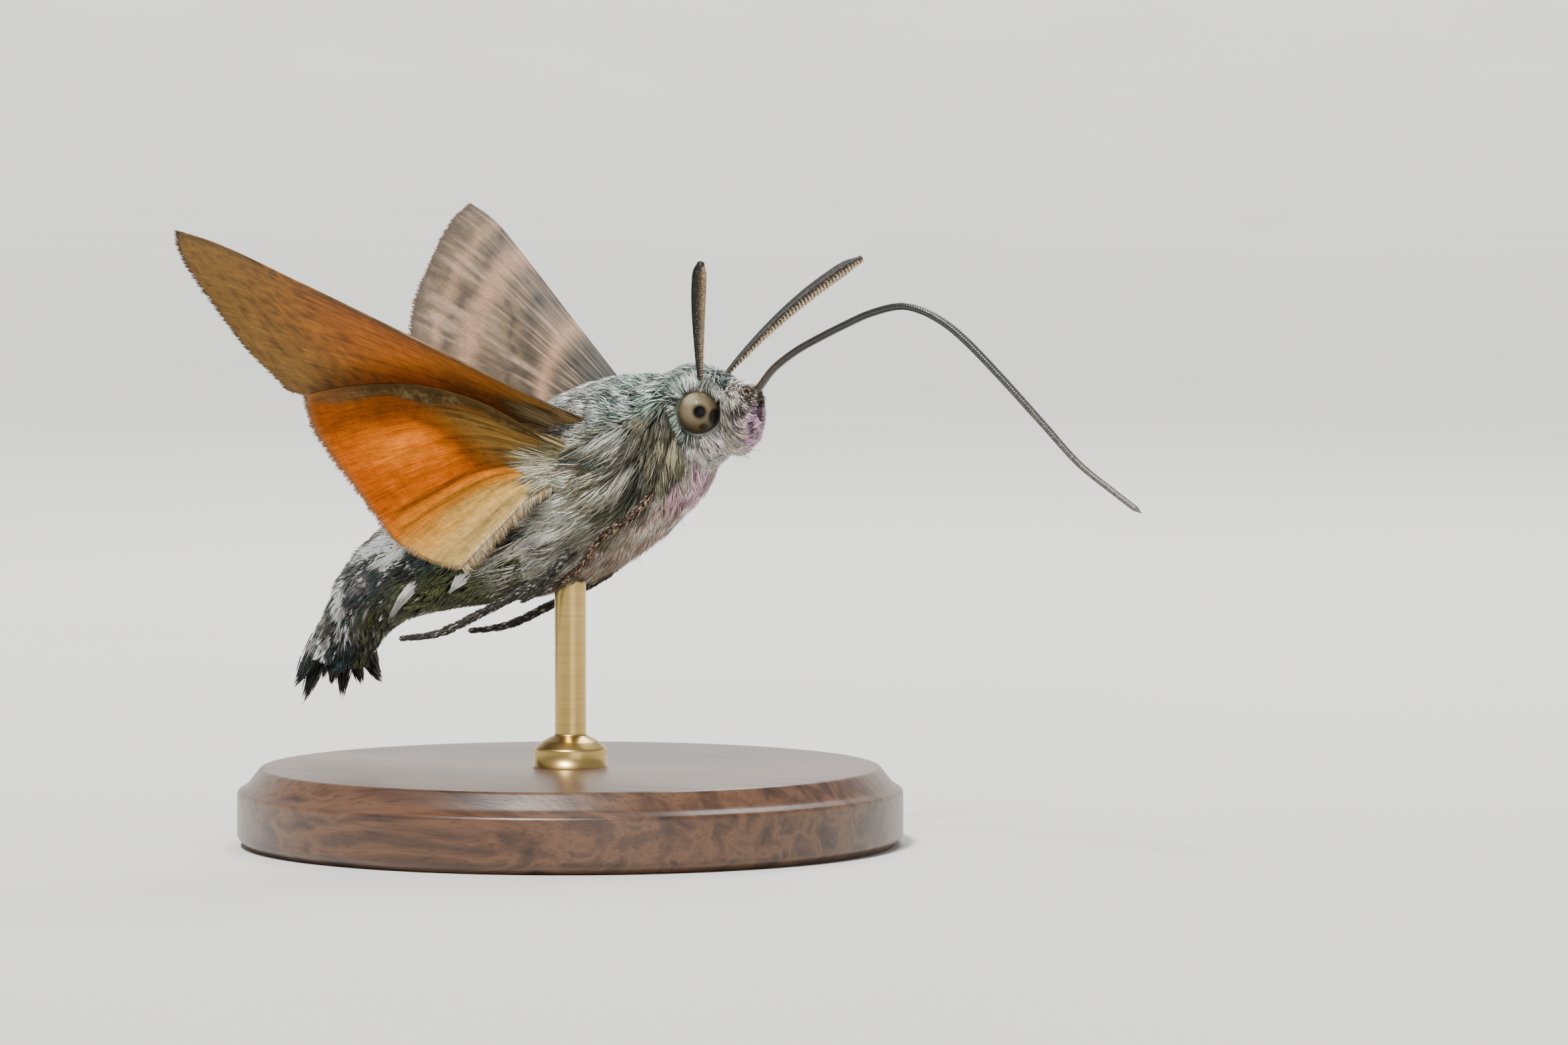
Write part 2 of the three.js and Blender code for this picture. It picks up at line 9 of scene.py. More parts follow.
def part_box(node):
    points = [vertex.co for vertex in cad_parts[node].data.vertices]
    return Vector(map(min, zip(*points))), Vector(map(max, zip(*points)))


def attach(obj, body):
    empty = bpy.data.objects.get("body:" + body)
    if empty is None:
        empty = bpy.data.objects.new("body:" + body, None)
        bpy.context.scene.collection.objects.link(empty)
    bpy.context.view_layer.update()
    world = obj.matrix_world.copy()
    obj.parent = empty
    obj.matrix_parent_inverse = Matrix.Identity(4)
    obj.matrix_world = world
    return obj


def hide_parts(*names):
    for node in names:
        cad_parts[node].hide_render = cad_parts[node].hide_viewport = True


# Hummingbird hawk moth on its display stand
# Sizes are in millimetres in the moth's own frame, and place() turns them to metres

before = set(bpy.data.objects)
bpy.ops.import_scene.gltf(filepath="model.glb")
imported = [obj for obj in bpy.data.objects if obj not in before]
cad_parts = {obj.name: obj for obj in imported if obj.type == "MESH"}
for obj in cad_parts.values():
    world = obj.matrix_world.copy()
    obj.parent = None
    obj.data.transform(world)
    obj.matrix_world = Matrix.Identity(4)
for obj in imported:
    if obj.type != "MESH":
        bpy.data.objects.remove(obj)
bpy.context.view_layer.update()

MM = 0.001
RIGHT, LEFT = -1, 1
SIDES = {"right": RIGHT, "left": LEFT}

# Trunk, head and snout: each station is [back x, back z, belly x, belly z, half width]
TRUNK = np.array([
    [4.27, 4.64, 6.37, -0.43, 2.35], [3.47, 4.47, 5.5, -1.79, 3.1], [2.46, 4.42, 4.5, -2.76, 3.65],
    [1.25, 4.34, 3.15, -3.94, 3.95], [-0.06, 4.02, 1.54, -5.08, 4.05], [-1.48, 3.5, -0.08, -5.93, 3.95],
    [-2.81, 2.8, -1.5, -6.47, 3.8], [-4.24, 1.86, -3.13, -6.9, 3.65], [-5.98, 0.67, -5.18, -7.3, 3.55],
    [-7.84, -0.53, -6.93, -7.55, 3.5], [-9.6, -1.73, -8.58, -7.8, 3.35],
    [-11.27, -2.84, -10.03, -8.07, 3.1], [-12.83, -3.95, -11.39, -8.45, 2.7],
    [-14.1, -5.1, -12.33, -8.95, 2.3], [-15.1, -6.45, -12.96, -9.5, 1.95],
    [-15.85, -7.95, -13.3, -10.0, 1.65], [-16.4, -9.2, -13.69, -10.45, 1.5],
    [-16.7, -10.4, -14.0, -11.0, 1.7],
])
HEAD = np.array([
    [4.5, 4.62, 6.62, -0.12, 2.0], [5.3, 4.98, 7.0, 0.12, 2.05], [6.2, 5.0, 7.3, 0.35, 1.95],
    [7.05, 4.85, 7.55, 0.48, 1.75], [7.72, 4.4, 7.7, 0.5, 1.5],
])
SNOUT = np.array([
    [8.05, 4.22, 8.02, 0.52, 1.5], [8.5, 4.18, 8.45, 0.65, 1.4], [8.95, 4.05, 8.85, 0.98, 1.15],
    [9.25, 3.75, 9.15, 1.5, 0.8], [9.4, 3.3, 9.35, 2.2, 0.35],
])
SQUARENESS = 2.2  # exponent of the sections' superellipse
THORAX_END = 6.35
SKIN_END = 16.7  # stations
COAT_DEPTH = 0.75  # of the thorax's long coat
FUR_DEPTH = 0.24  # of the short coat elsewhere

EYE = np.array([6.71, 1.5, 2.66])
EYE_RADIUS = 1.09
ANTENNA = {
    "socket": np.array([6.62, 1.22, 4.3]), "reach": np.array([3.95, 7.26, 5.95]),
    "bow": np.array([-0.17, -0.14, 0.33]), "hook": np.array([0.03, 0, -0.05]),
    "radii": [0.15, 0.2, 0.24, 0.28, 0.32, 0.35, 0.37, 0.37, 0.35, 0.2],
    "segments": 92, "overlap": 1.12, "bristles": 520, "ring": 0.22,
}
PROBOSCIS = [
    [8.75, 3.2], [9.44, 4.03], [10.2, 4.9], [11.45, 5.78], [12.85, 6.5], [14.2, 7.12], [15.6, 7.7],
    [17.2, 8.08], [18.4, 7.92], [19.75, 7.3], [21.1, 6.3], [23.0, 4.55], [25.2, 2.4], [27.2, 0.45],
    [29.25, -1.0], [30.6, -1.9],
]
WING_ANGLES = {RIGHT: (40, 25.5, 37), LEFT: (33, 28.5, 22)}  # sweep, lift and feather, in degrees
FOREWING_HUB = np.array([0.68, 3.45, 2.1])
FOREWING = {
    "root": [[-0.9, -0.3], [-0.6, 0.7], [-0.3, 1.7]],
    "costa": [[-0.9, -0.3], [4.5, -0.4], [10, -0.5], [16, -0.62], [20, -0.62], [22.3, -0.2]],
    "outer": [[22.3, -0.2], [21.75, 0.95], [20.4, 2.4], [18.4, 4.0], [15.9, 5.9], [12.9, 7.5]],
    "inner": [[-0.3, 1.7], [3, 3.2], [6.5, 4.8], [10, 6.5], [12.9, 7.5]],
    "camber": 0.5,
}
HINDWING = {
    "root": [[0.9, 3.1, 0.65], [0.62, 3.1, 0.1], [0.33, 3.1, -0.5]],
    "costa": [
        [0.9, 3.1, 0.65], [-0.9, 4.9, 1.7], [-2.88, 6.2, 3.0], [-4.96, 7.3, 3.8],
        [-6.9, 8.01, 4.1], [-9.5, 8.6, 3.95], [-11.96, 8.73, 3.5],
    ],
    "outer": [
        [-11.96, 8.73, 3.5], [-12.2, 7.8, 2.1], [-11.5, 7.3, 0.6], [-10.7, 6.4, -0.95],
        [-10.0, 5.2, -2.7], [-8.9, 4.6, -4.15], [-7.3, 4.3, -4.95], [-5.64, 4.05, -5.35],
    ],
    "inner": [
        [0.33, 3.1, -0.5], [-1.2, 4.35, -1.5], [-2.6, 4.35, -2.7], [-4.2, 4.2, -4.1], [-5.64, 4.05, -5.35],
    ],
    "camber": 0.2,
}
LEGS = {
    "foreleg": [[4.5, 0.9, -0.5], [4.25, 0.9, -2.15], [3.5, 0.9, -3.0], [2.42, 0.9, -3.95],
                [1.2, 0.9, -4.8], [0.0, 0.9, -5.5]],
    "midleg": [[4.6, 1.9, -0.9], [4.05, 3.1, -2.25], [3.2, 3.3, -2.95], [2.2, 3.35, -3.6],
               [1.2, 2.95, -4.55], [0.1, 2.55, -5.5], [-1.5, 2.3, -6.35], [-3.4, 2.0, -7.15]],
    "hindleg": [[0.4, 2.0, -3.7], [-0.3, 3.05, -4.85], [-1.1, 3.35, -5.75], [-2.2, 3.45, -6.4],
                [-3.5, 3.5, -7.05], [-5.05, 3.5, -7.8], [-6.8, 3.5, -8.6], [-8.1, 3.5, -8.95],
                [-9.7, 3.5, -9.15]],
}
FAR_TUCK = {"midleg": 0.75}  # how much further back this leg starts on the left side
FAN = {
    "roots": np.array([[-16.0, 0, -9.9], [-14.6, 0, -10.3]]), "spread": 32,
    "lengths": ([2.1, 3.2, 1.9, 2.2, 2.0], [1.4, 2.3, 1.8, 2.5]),
    "down": np.array([-0.12, 0, -1]), "across": np.array([0.25, 1, 0.2]), "root_width": 2.0,
    "scales": 330,
}

low, high = (np.array(corner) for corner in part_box("eye_right"))
ORIGIN = (low + high) / 2 / MM - EYE * (1, RIGHT, 1)  # the moth's own frame in the part's

# Camera, from where the photograph was taken
AZIMUTH, ELEVATION = 28, 3
AIM = np.array([10.75, 0, -2.85])
DISTANCE = 394
LENS = 180


def towards(azimuth, elevation):
    a, e = math.radians(azimuth), math.radians(elevation)
    return np.array([math.sin(a) * math.cos(e), -math.cos(a) * math.cos(e), math.sin(e)])


def place(points):
    return (np.asarray(points, float) + ORIGIN) * MM


def aimed(thing, azimuth, elevation, distance):
    thing.location = place(AIM + towards(azimuth, elevation) * distance)
    thing.rotation_euler = Vector(towards(azimuth, elevation)).to_track_quat("Z", "Y").to_euler()
    bpy.context.scene.collection.objects.link(thing)
    return thing


camera = bpy.data.cameras.new("camera")
camera.lens = LENS
camera.sensor_width = 36
camera.clip_start = 0.01
camera.clip_end = 20
bpy.context.scene.camera = aimed(bpy.data.objects.new("camera", camera), AZIMUTH, ELEVATION, DISTANCE)


# Colours and materials
def linear(code):
    """A hex sRGB colour as linear values."""
    values = np.array([int(code[i:i + 2], 16) for i in (1, 3, 5)]) / 255
    return np.where(values <= 0.04045, values / 12.92, ((values + 0.055) / 1.055) ** 2.4)


def rgba(code):
    return (*linear(code), 1)


def node(tree, kind, inputs=None, stops=(), **settings):
    """Adds a node with its settings and links. An input is a value, or a socket to link.
    Stops are a colour ramp's own: each is a position and a hex code."""
    made = tree.nodes.new(kind)
    for name, value in settings.items():
        setattr(made, name, value)
    for name, value in (inputs or {}).items():
        if isinstance(value, bpy.types.NodeSocket):
            tree.links.new(value, made.inputs[name])
        else:
            made.inputs[name].default_value = value
    if stops:
        elements = made.color_ramp.elements
        while len(elements) < len(stops):
            elements.new(0.5)
        for element, (position, code) in zip(elements, stops):
            element.position = position
            element.color = rgba(code)
    return made


def material(name, **shader):
    """A material with values set on its shader's own sockets, its tree and the shader."""
    made = bpy.data.materials.new(name)
    made.use_nodes = True
    principled = made.node_tree.nodes["Principled BSDF"]
    for key, value in shader.items():
        principled.inputs[key.replace("_", " ")].default_value = value
    return made, made.node_tree, principled


def joined(tree, principled, colour, relief=None):
    """Links a colour, and a bump node where there is one, to the shader."""
    tree.links.new(colour, principled.inputs["Base Color"])
    if relief:
        tree.links.new(relief.outputs["Normal"], principled.inputs["Normal"])


def toned(name, roughness, grain_mm, grain, **shader):
    """A finish that takes its colour from the piece's tone, broken up by a fine grain."""
    made, tree, principled = material(name, Roughness=roughness, **shader)
    tone = node(tree, "ShaderNodeAttribute", attribute_name="tone").outputs["Color"]
    where = node(tree, "ShaderNodeTexCoord").outputs["Object"]
    speck = node(tree, "ShaderNodeTexNoise", {
        "Vector": where, "Scale": 1 / (grain_mm * MM), "Detail": 3}).outputs["Fac"]
    value = node(tree, "ShaderNodeMapRange", {
        "Value": speck, "From Min": 0.3, "From Max": 0.7, "To Min": 1 - grain, "To Max": 1 + grain})
    shaded = node(tree, "ShaderNodeVectorMath", {0: tone, 1: value.outputs["Result"]},
                  operation="MULTIPLY")
    joined(tree, principled, shaded.outputs["Vector"], node(tree, "ShaderNodeBump", {
        "Height": speck, "Distance": 0.01 * MM, "Strength": 1.0}))
    return made


# Hair scales: long, dry and silky, so a broad soft highlight runs along each lock
hair = toned("moth_hair_scales", 0.5, 0.05, 0.12, Specular_IOR_Level=0.45)
# Lamellar scales: flat, overlapping and a little glossier, dark ones with a faint oily sheen
lamellar = toned("moth_lamellar_scales", 0.42, 0.06, 0.15, Specular_IOR_Level=0.5)
# Cuticle under the coat: matt and dark, seen only between the hairs; on the skin it is darkened further as
# painted shade under the fur
cuticle = toned("moth_cuticle", 0.8, 0.08, 0.25, Specular_IOR_Level=0.2)


# Helpers: shapes
def soft(x, start, end):
    """Rises smoothly from 0 at start to 1 at end."""
    s = np.clip((np.asarray(x, float) - start) / (end - start), 0, 1)
    return s * s * (3 - 2 * s)


def spline(rows, t):
    """Values on a smooth line through the rows, at the stations t, and straight on past its ends."""
    rows = np.asarray(rows, float)
    t = np.asarray(t, float)
    last = len(rows) - 1
    i = np.clip(np.floor(t).astype(int), 0, last - 1)
    f = np.clip(t - i, 0, 1)[..., None]
    p, q, r, s = (rows[np.clip(i + k, 0, last)] for k in (-1, 0, 1, 2))
    inside = q + 0.5 * f * (r - p + f * (2 * p - 5 * q + 4 * r - s + f * (3 * (q - r) + s - p)))
    before = np.minimum(t, 0)[..., None] * (rows[1] - rows[0])
    after = np.maximum(t - last, 0)[..., None] * (rows[-1] - rows[-2])
    return inside + (before + after)


def unit(v):
    return v / np.maximum(np.linalg.norm(v, axis=-1, keepdims=True), 1e-9)


def mix(a, b, share):
    return a + (b - a) * np.asarray(share)[..., None]


def painted(tone, *layers):
    """Lays colours over a tone one after another: each is a hex code and its share."""
    for code, share in layers:
        tone = mix(tone, linear(code), share)
    return tone


def between(x, s, rows):
    """Points at each x, between the rows that stand at s."""
    return np.stack([np.interp(x, s, rows[:, k]) for k in range(3)], -1)


def body(stations, t, e, side, height):
    """Points on the body: e is the angle above its side's middle, in degrees."""
    tx, tz, bx, bz, width = np.moveaxis(spline(stations, t), -1, 0)
    angle = np.radians(np.where(side > 0, e, 180 - e))
    power = 2 / SQUARENESS
    c, s = (np.sign(v) * np.abs(v) ** power for v in (np.cos(angle), np.sin(angle)))
    rise = s * (1 + height / (np.hypot(tx - bx, tz - bz) / 2))
    return np.stack([(tx + bx) / 2 + (tx - bx) / 2 * rise, (width + height) * c,
                     (tz + bz) / 2 + (tz - bz) / 2 * rise], -1)


def body_frame(stations, t, e, side):
    """The body's outward normal, and how far it goes for one station and for one degree."""
    dt, de, dh = 0.02, 0.5, 0.3
    along = (body(stations, t + dt, e, side, 0) - body(stations, t - dt, e, side, 0)) / (2 * dt)
    round_ = (body(stations, t, e + de, side, 0) - body(stations, t, e - de, side, 0)) / (2 * de)
    normal = unit(np.cross(along, round_))
    out = body(stations, t, e, side, dh) - body(stations, t, e, side, -dh)
    return normal * np.sign((normal * out).sum(-1, keepdims=True)), along, round_


def make_mesh(name, points, faces, tone=None, uv=None, uv_name="OFBake"):
    """A smooth mesh object from points in the moth's frame and arrays of triangles or quads."""
    mesh = bpy.data.meshes.new(name)
    points = np.asarray(points, float)
    faces = [np.asarray(f) for f in faces if len(f)]
    loops = np.concatenate([f.ravel() for f in faces])
    sizes = np.concatenate([np.full(len(f), f.shape[1]) for f in faces])
    mesh.vertices.add(len(points))
    mesh.vertices.foreach_set("co", place(points).ravel())
    mesh.loops.add(len(loops))
    mesh.loops.foreach_set("vertex_index", loops)
    mesh.polygons.add(len(sizes))
    mesh.polygons.foreach_set("loop_start", np.concatenate([[0], np.cumsum(sizes)[:-1]]))
    mesh.update(calc_edges=True)
    mesh.polygons.foreach_set("use_smooth", np.ones(len(sizes), bool))
    if tone is not None:
        add_tone(mesh, tone)
    if uv is not None:
        mesh.uv_layers.new(name=uv_name).uv.foreach_set("vector", np.asarray(uv, float)[loops].ravel())
    piece = bpy.data.objects.new(name, mesh)
    bpy.context.scene.collection.objects.link(piece)
    return piece


def add_tone(mesh, tone):
    layer = mesh.color_attributes.new("tone", "FLOAT_COLOR", "POINT")
    colours = np.concatenate([np.clip(tone, 0, 1), np.ones((len(tone), 1))], 1)
    layer.data.foreach_set("color", colours.ravel())


def hand_in(piece, finish, slot, *nodes):
    """Gives a piece its finish, and sets it on the frame in place of its CAD nodes."""
    piece.data.materials.clear()
    piece.data.materials.append(finish)
    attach(piece, "root")
    if nodes:
        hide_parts(*nodes)
    return piece


def loft(rings):
    """A closed surface through rings of points: its points, then its quads and end triangles."""
    rings = np.asarray(rings, float)
    count, sides = rings.shape[:2]
    points = np.concatenate([rings.reshape(-1, 3), [rings[0].mean(0), rings[-1].mean(0)]])
    r, k = np.meshgrid(np.arange(count - 1), np.arange(sides), indexing="ij")
    n = (k + 1) % sides
    this, next_ = r * sides, (r + 1) * sides
    quads = np.stack([this + k, this + n, next_ + n, next_ + k], -1).reshape(-1, 4)
    k, n = np.arange(sides), (np.arange(sides) + 1) % sides
    first, last = count * sides, (count - 1) * sides
    caps = np.concatenate([
        np.stack([n, k, np.full(sides, first)], -1),
        np.stack([last + k, last + n, np.full(sides, first + 1)], -1),
    ])
    return points, [quads, caps]


def outward(piece):
    """Turns a closed piece's faces outwards."""
    mesh = piece.data
    co = np.empty(len(mesh.vertices) * 3)
    mesh.vertices.foreach_get("co", co)
    co = co.reshape(-1, 3)
    mesh.calc_loop_triangles()
    tri = np.empty(len(mesh.loop_triangles) * 3, int)
    mesh.loop_triangles.foreach_get("vertices", tri)
    a, b, c = (co[tri.reshape(-1, 3)[:, k]] - co.mean(0) for k in range(3))
    if (a * np.cross(b, c)).sum() < 0:
        mesh.flip_normals()
    return piece


def smooth_line(points, count):
    """Evenly spaced points on a smooth line, with their directions and a side direction."""
    dense = spline(points, np.linspace(0, len(points) - 1, 40 * len(points)))
    run = np.concatenate([[0], np.cumsum(np.linalg.norm(np.diff(dense, axis=0), axis=1))])
    even = between(np.linspace(0, run[-1], count), run, dense)
    way = unit(np.gradient(even, axis=0))
    side = np.empty_like(way)
    reference = np.array([0.0, 1.0, 0.0])
    for i, w in enumerate(way):
        reference = unit(reference - w * (reference @ w))
        side[i] = reference
    return even, way, side, run[-1]


def tube_rings(line, radii, sides):
    even, way, side, _ = line
    up = np.cross(way, side)
    a = np.linspace(0, 2 * np.pi, sides, endpoint=False)[None, :, None]
    return even[:, None] + radii[:, None, None] * (np.cos(a) * side[:, None] + np.sin(a) * up[:, None])


# Helpers: tufts of hair and scales
SHARES = np.array([0, 0.3, 0.65, 1.0])  # where a hair has its sections and its tip
PROFILE = np.array([0.75, 1.0, 0.72])  # their widths
PATCH = 0.003  # of a hair on its map
ROOT = 0.06  # how far a hair's root goes into the skin


def hairs(name, path, normal, width, tones, uv, thick=0.45):
    """One closed, tapered hair for each path (n, 4, 3), three-sided, with the widest side in."""
    n = len(path)
    way = unit(np.gradient(path, axis=1))
    across = unit(np.cross(way, normal))
    out = np.cross(across, way)
    w = (width[:, None] * PROFILE)[..., None] / 2
    p, a, o = path[:, :3], across[:, :3], out[:, :3]
    rings = np.stack([p - a * w, p + a * w, p + o * w * 2 * thick], 2)
    points = np.concatenate([rings.reshape(n, 9, 3), path[:, 3:]], 1).reshape(-1, 3)
    pattern = [[0, 1, 2]]
    for r in (0, 3):
        for k in range(3):
            j = (k + 1) % 3
            pattern += [[r + j, r + k, r + 3 + k], [r + j, r + 3 + k, r + 3 + j]]
    pattern += [[6 + (k + 1) % 3, 6 + k, 9] for k in range(3)]
    faces = (np.arange(n)[:, None, None] * 10 + np.array(pattern)).reshape(-1, 3)
    root, tip = tones
    share = np.array([0.05] * 3 + [0.4] * 3 + [0.75] * 3 + [1.0])
    tone = mix(root[:, None], tip[:, None], np.broadcast_to(share, (n, 10)))
    corner = np.append(np.tile([0, 1, 0.5], 3), 0.5)
    patch = np.stack([corner, share], -1) * PATCH
    return outward(make_mesh(name, points, [faces], tone.reshape(-1, 3),
                             (uv[:, None] + patch[None]).reshape(-1, 2)))


def lift(lock, strand):
    """How high each hair stands in the coat, from 0 to 1, mostly with the rest of its lock."""
    return 0.62 * lock[:, 3] + 0.38 * strand[:, 2]


def pick(codes, shares, x):
    """One of the colours for each x from 0 to 1, as often as its share."""
    table = np.array([linear(code) for code in codes])
    steps = np.cumsum(shares) / np.sum(shares)
    return table[np.searchsorted(steps, np.clip(x, 0, 0.9999), side="right").clip(0, len(codes) - 1)]


def scattered(stations, count, t_span, e_span, style, rng, sides):
    """Roots spread evenly over a stretch of the body."""
    t = rng.uniform(*t_span, 5 * count)
    e = rng.uniform(*e_span, 5 * count)
    side = rng.choice(sides, 5 * count)
    _, along, round_ = body_frame(stations, t, e, side)
    area = np.linalg.norm(np.cross(along, round_), axis=-1)
    kept = np.flatnonzero(rng.random(len(t)) < area / np.quantile(area, 0.98))
    if "keep" in style:
        kept = kept[style["keep"](body(stations, t[kept], e[kept], side[kept], 0))]
    kept = kept[:count]
    return t[kept], e[kept], side[kept]


def tufted(places, count, spread, rng):
    """Roots gathered round chosen [station, angle] places on both sides, each place's own root first."""
    places = np.repeat(places, 2, axis=0)
    first = len(places)
    which = np.concatenate([np.arange(first), rng.integers(first, size=count - first)])
    off = rng.normal(0, 1, (count, 2)) * spread
    off[:first] = 0
    t, e = (places[which] + off).T
    return t, e, np.array([RIGHT, LEFT])[which % 2], np.arange(first)


def grow(name, stations, count, t_span, e_span, style, tones, seed, sides):
    """A coat on the body, in locks that draw together towards their tips."""
    rng = np.random.default_rng(seed)
    if "at" in style:
        t, e, side, centres = tufted(np.array(style["at"], float), count, style["spread"], rng)
    else:
        t, e, side = scattered(stations, count, t_span, e_span, style, rng, sides)
        centres = rng.choice(len(t), style["locks"], replace=False)
    _, along, round_ = body_frame(stations, t, e, side)
    roots = body(stations, t, e, side, 0)
    step_t = np.linalg.norm(along, axis=-1)
    step_e = np.linalg.norm(round_, axis=-1)

    tree = KDTree(len(centres))
    for i, c in enumerate(centres):
        tree.insert(roots[c], i)
    tree.balance()
    lock = np.array([tree.find(p)[1] for p in roots])
    lock_random = rng.random((len(centres), 5))[lock]
    strand_random = rng.random((len(t), 5))
    c = centres[lock]

    way = np.radians(style["way"](t, e) + style["sway"] * (2 * lock_random[:, 1] - 1))
    own = np.radians(style.get("stray", 6) * rng.standard_normal(len(t)))
    length = style["length"](t, e) * (0.8 + 0.4 * lock_random[:, 2]) * (0.75 + 0.4 * strand_random[:, 1])
    run_t = length * np.cos(way + own) / step_t
    run_e = -length * np.sin(way + own) / step_e
    lock_t = length * np.cos(way) / step_t[c]
    lock_e = -length * np.sin(way) / step_e[c]
    depth = style["depth"](t, e)
    top = style["top"] + style["loose"] * (lift(lock_random, strand_random) - 0.5)
    if "sink" in style:
        top = top - style["sink"](t, e)
    curl = rng.standard_normal(len(t)) * (1.2 - style["clump"]) + lock_random[:, 4] - 0.5
    bend = 0.16 * length * curl / step_e
    path, normals = [], []
    for s in SHARES:
        pull = style["clump"] * s ** 1.2
        at_t = (t + s * run_t) * (1 - pull) + (t[c] + s * lock_t) * pull
        at_e = (e + s * run_e) * (1 - pull) + (e[c] + s * lock_e) * pull + bend * s * s
        at_t = np.clip(at_t, *style.get("limits", (-0.4, len(stations) - 1)))
        height = -depth - ROOT + (depth + ROOT + top) * s ** style.get("rise", 0.6)
        n = body_frame(stations, at_t, at_e, side)[0]
        path.append(body(stations, at_t, at_e, side, 0) + n * height[:, None])
        normals.append(n)
    width = style["width"] * (0.75 + 0.5 * strand_random[:, 3])
    # The map has the right side in one half and the left side in the other
    if len(sides) > 1:
        u = 0.5 + 0.44 * side * (e - e_span[0] + 2) / (e_span[1] - e_span[0] + 4)
    else:
        u = 0.04 + 0.9 * (e - e_span[0]) / (e_span[1] - e_span[0])
    v = 0.04 + 0.9 * (t - t_span[0]) / (t_span[1] - t_span[0])
    return hairs(name, np.stack(path, 1), np.stack(normals, 1), width,
                 tones(t, e, lock_random, strand_random), np.stack([u, v], -1), style.get("thick", 0.45))


# Markings, which the skin and the coat share
def spot(t, e, at_t, at_e, size_t, size_e):
    return np.exp(-((t - at_t) / size_t) ** 2 - ((e - at_e) / size_e) ** 2)


def mottle(t, e, size_t, size_e, seed):
    """Smooth random patches of this size, from 0 to 1."""
    grid = np.random.default_rng(seed).random((128, 128))
    x = np.asarray(t, float) / size_t + 64
    y = np.asarray(e, float) / size_e + 64
    i, j = np.floor(x).astype(int), np.floor(y).astype(int)
    f, g = soft(x - i, 0, 1), soft(y - j, 0, 1)
    near, far = (grid[k % 128, j % 128] * (1 - g) + grid[k % 128, (j + 1) % 128] * g for k in (i, i + 1))
    return near * (1 - f) + far * f


def dice(lock, strand, share):
    """A random number for each hair, which this share of a lock's hairs have in common."""
    return np.where(strand[:, 3] < share, lock[:, 0], strand[:, 0])


def painted_shading(lock, strand):
    """Painted shade and light: hairs low in the coat are painted dark, and those on top are painted bright.
    Locks also vary at random.
    """
    own = 0.25 + 1.38 * soft(lift(lock, strand), 0.12, 0.82)
    return (own * (0.66 + 0.62 * lock[:, 2]))[:, None]


# Painted shade deep in the coat: each hair is painted darker towards its root
SIDE_ROOT_SHADE, BACK_ROOT_SHADE = [0.2, 0.19, 0.16], [0.34, 0.35, 0.34]  # how dark a hair's root is beside its tip
FACE_ROOT_SHADE = 0.35


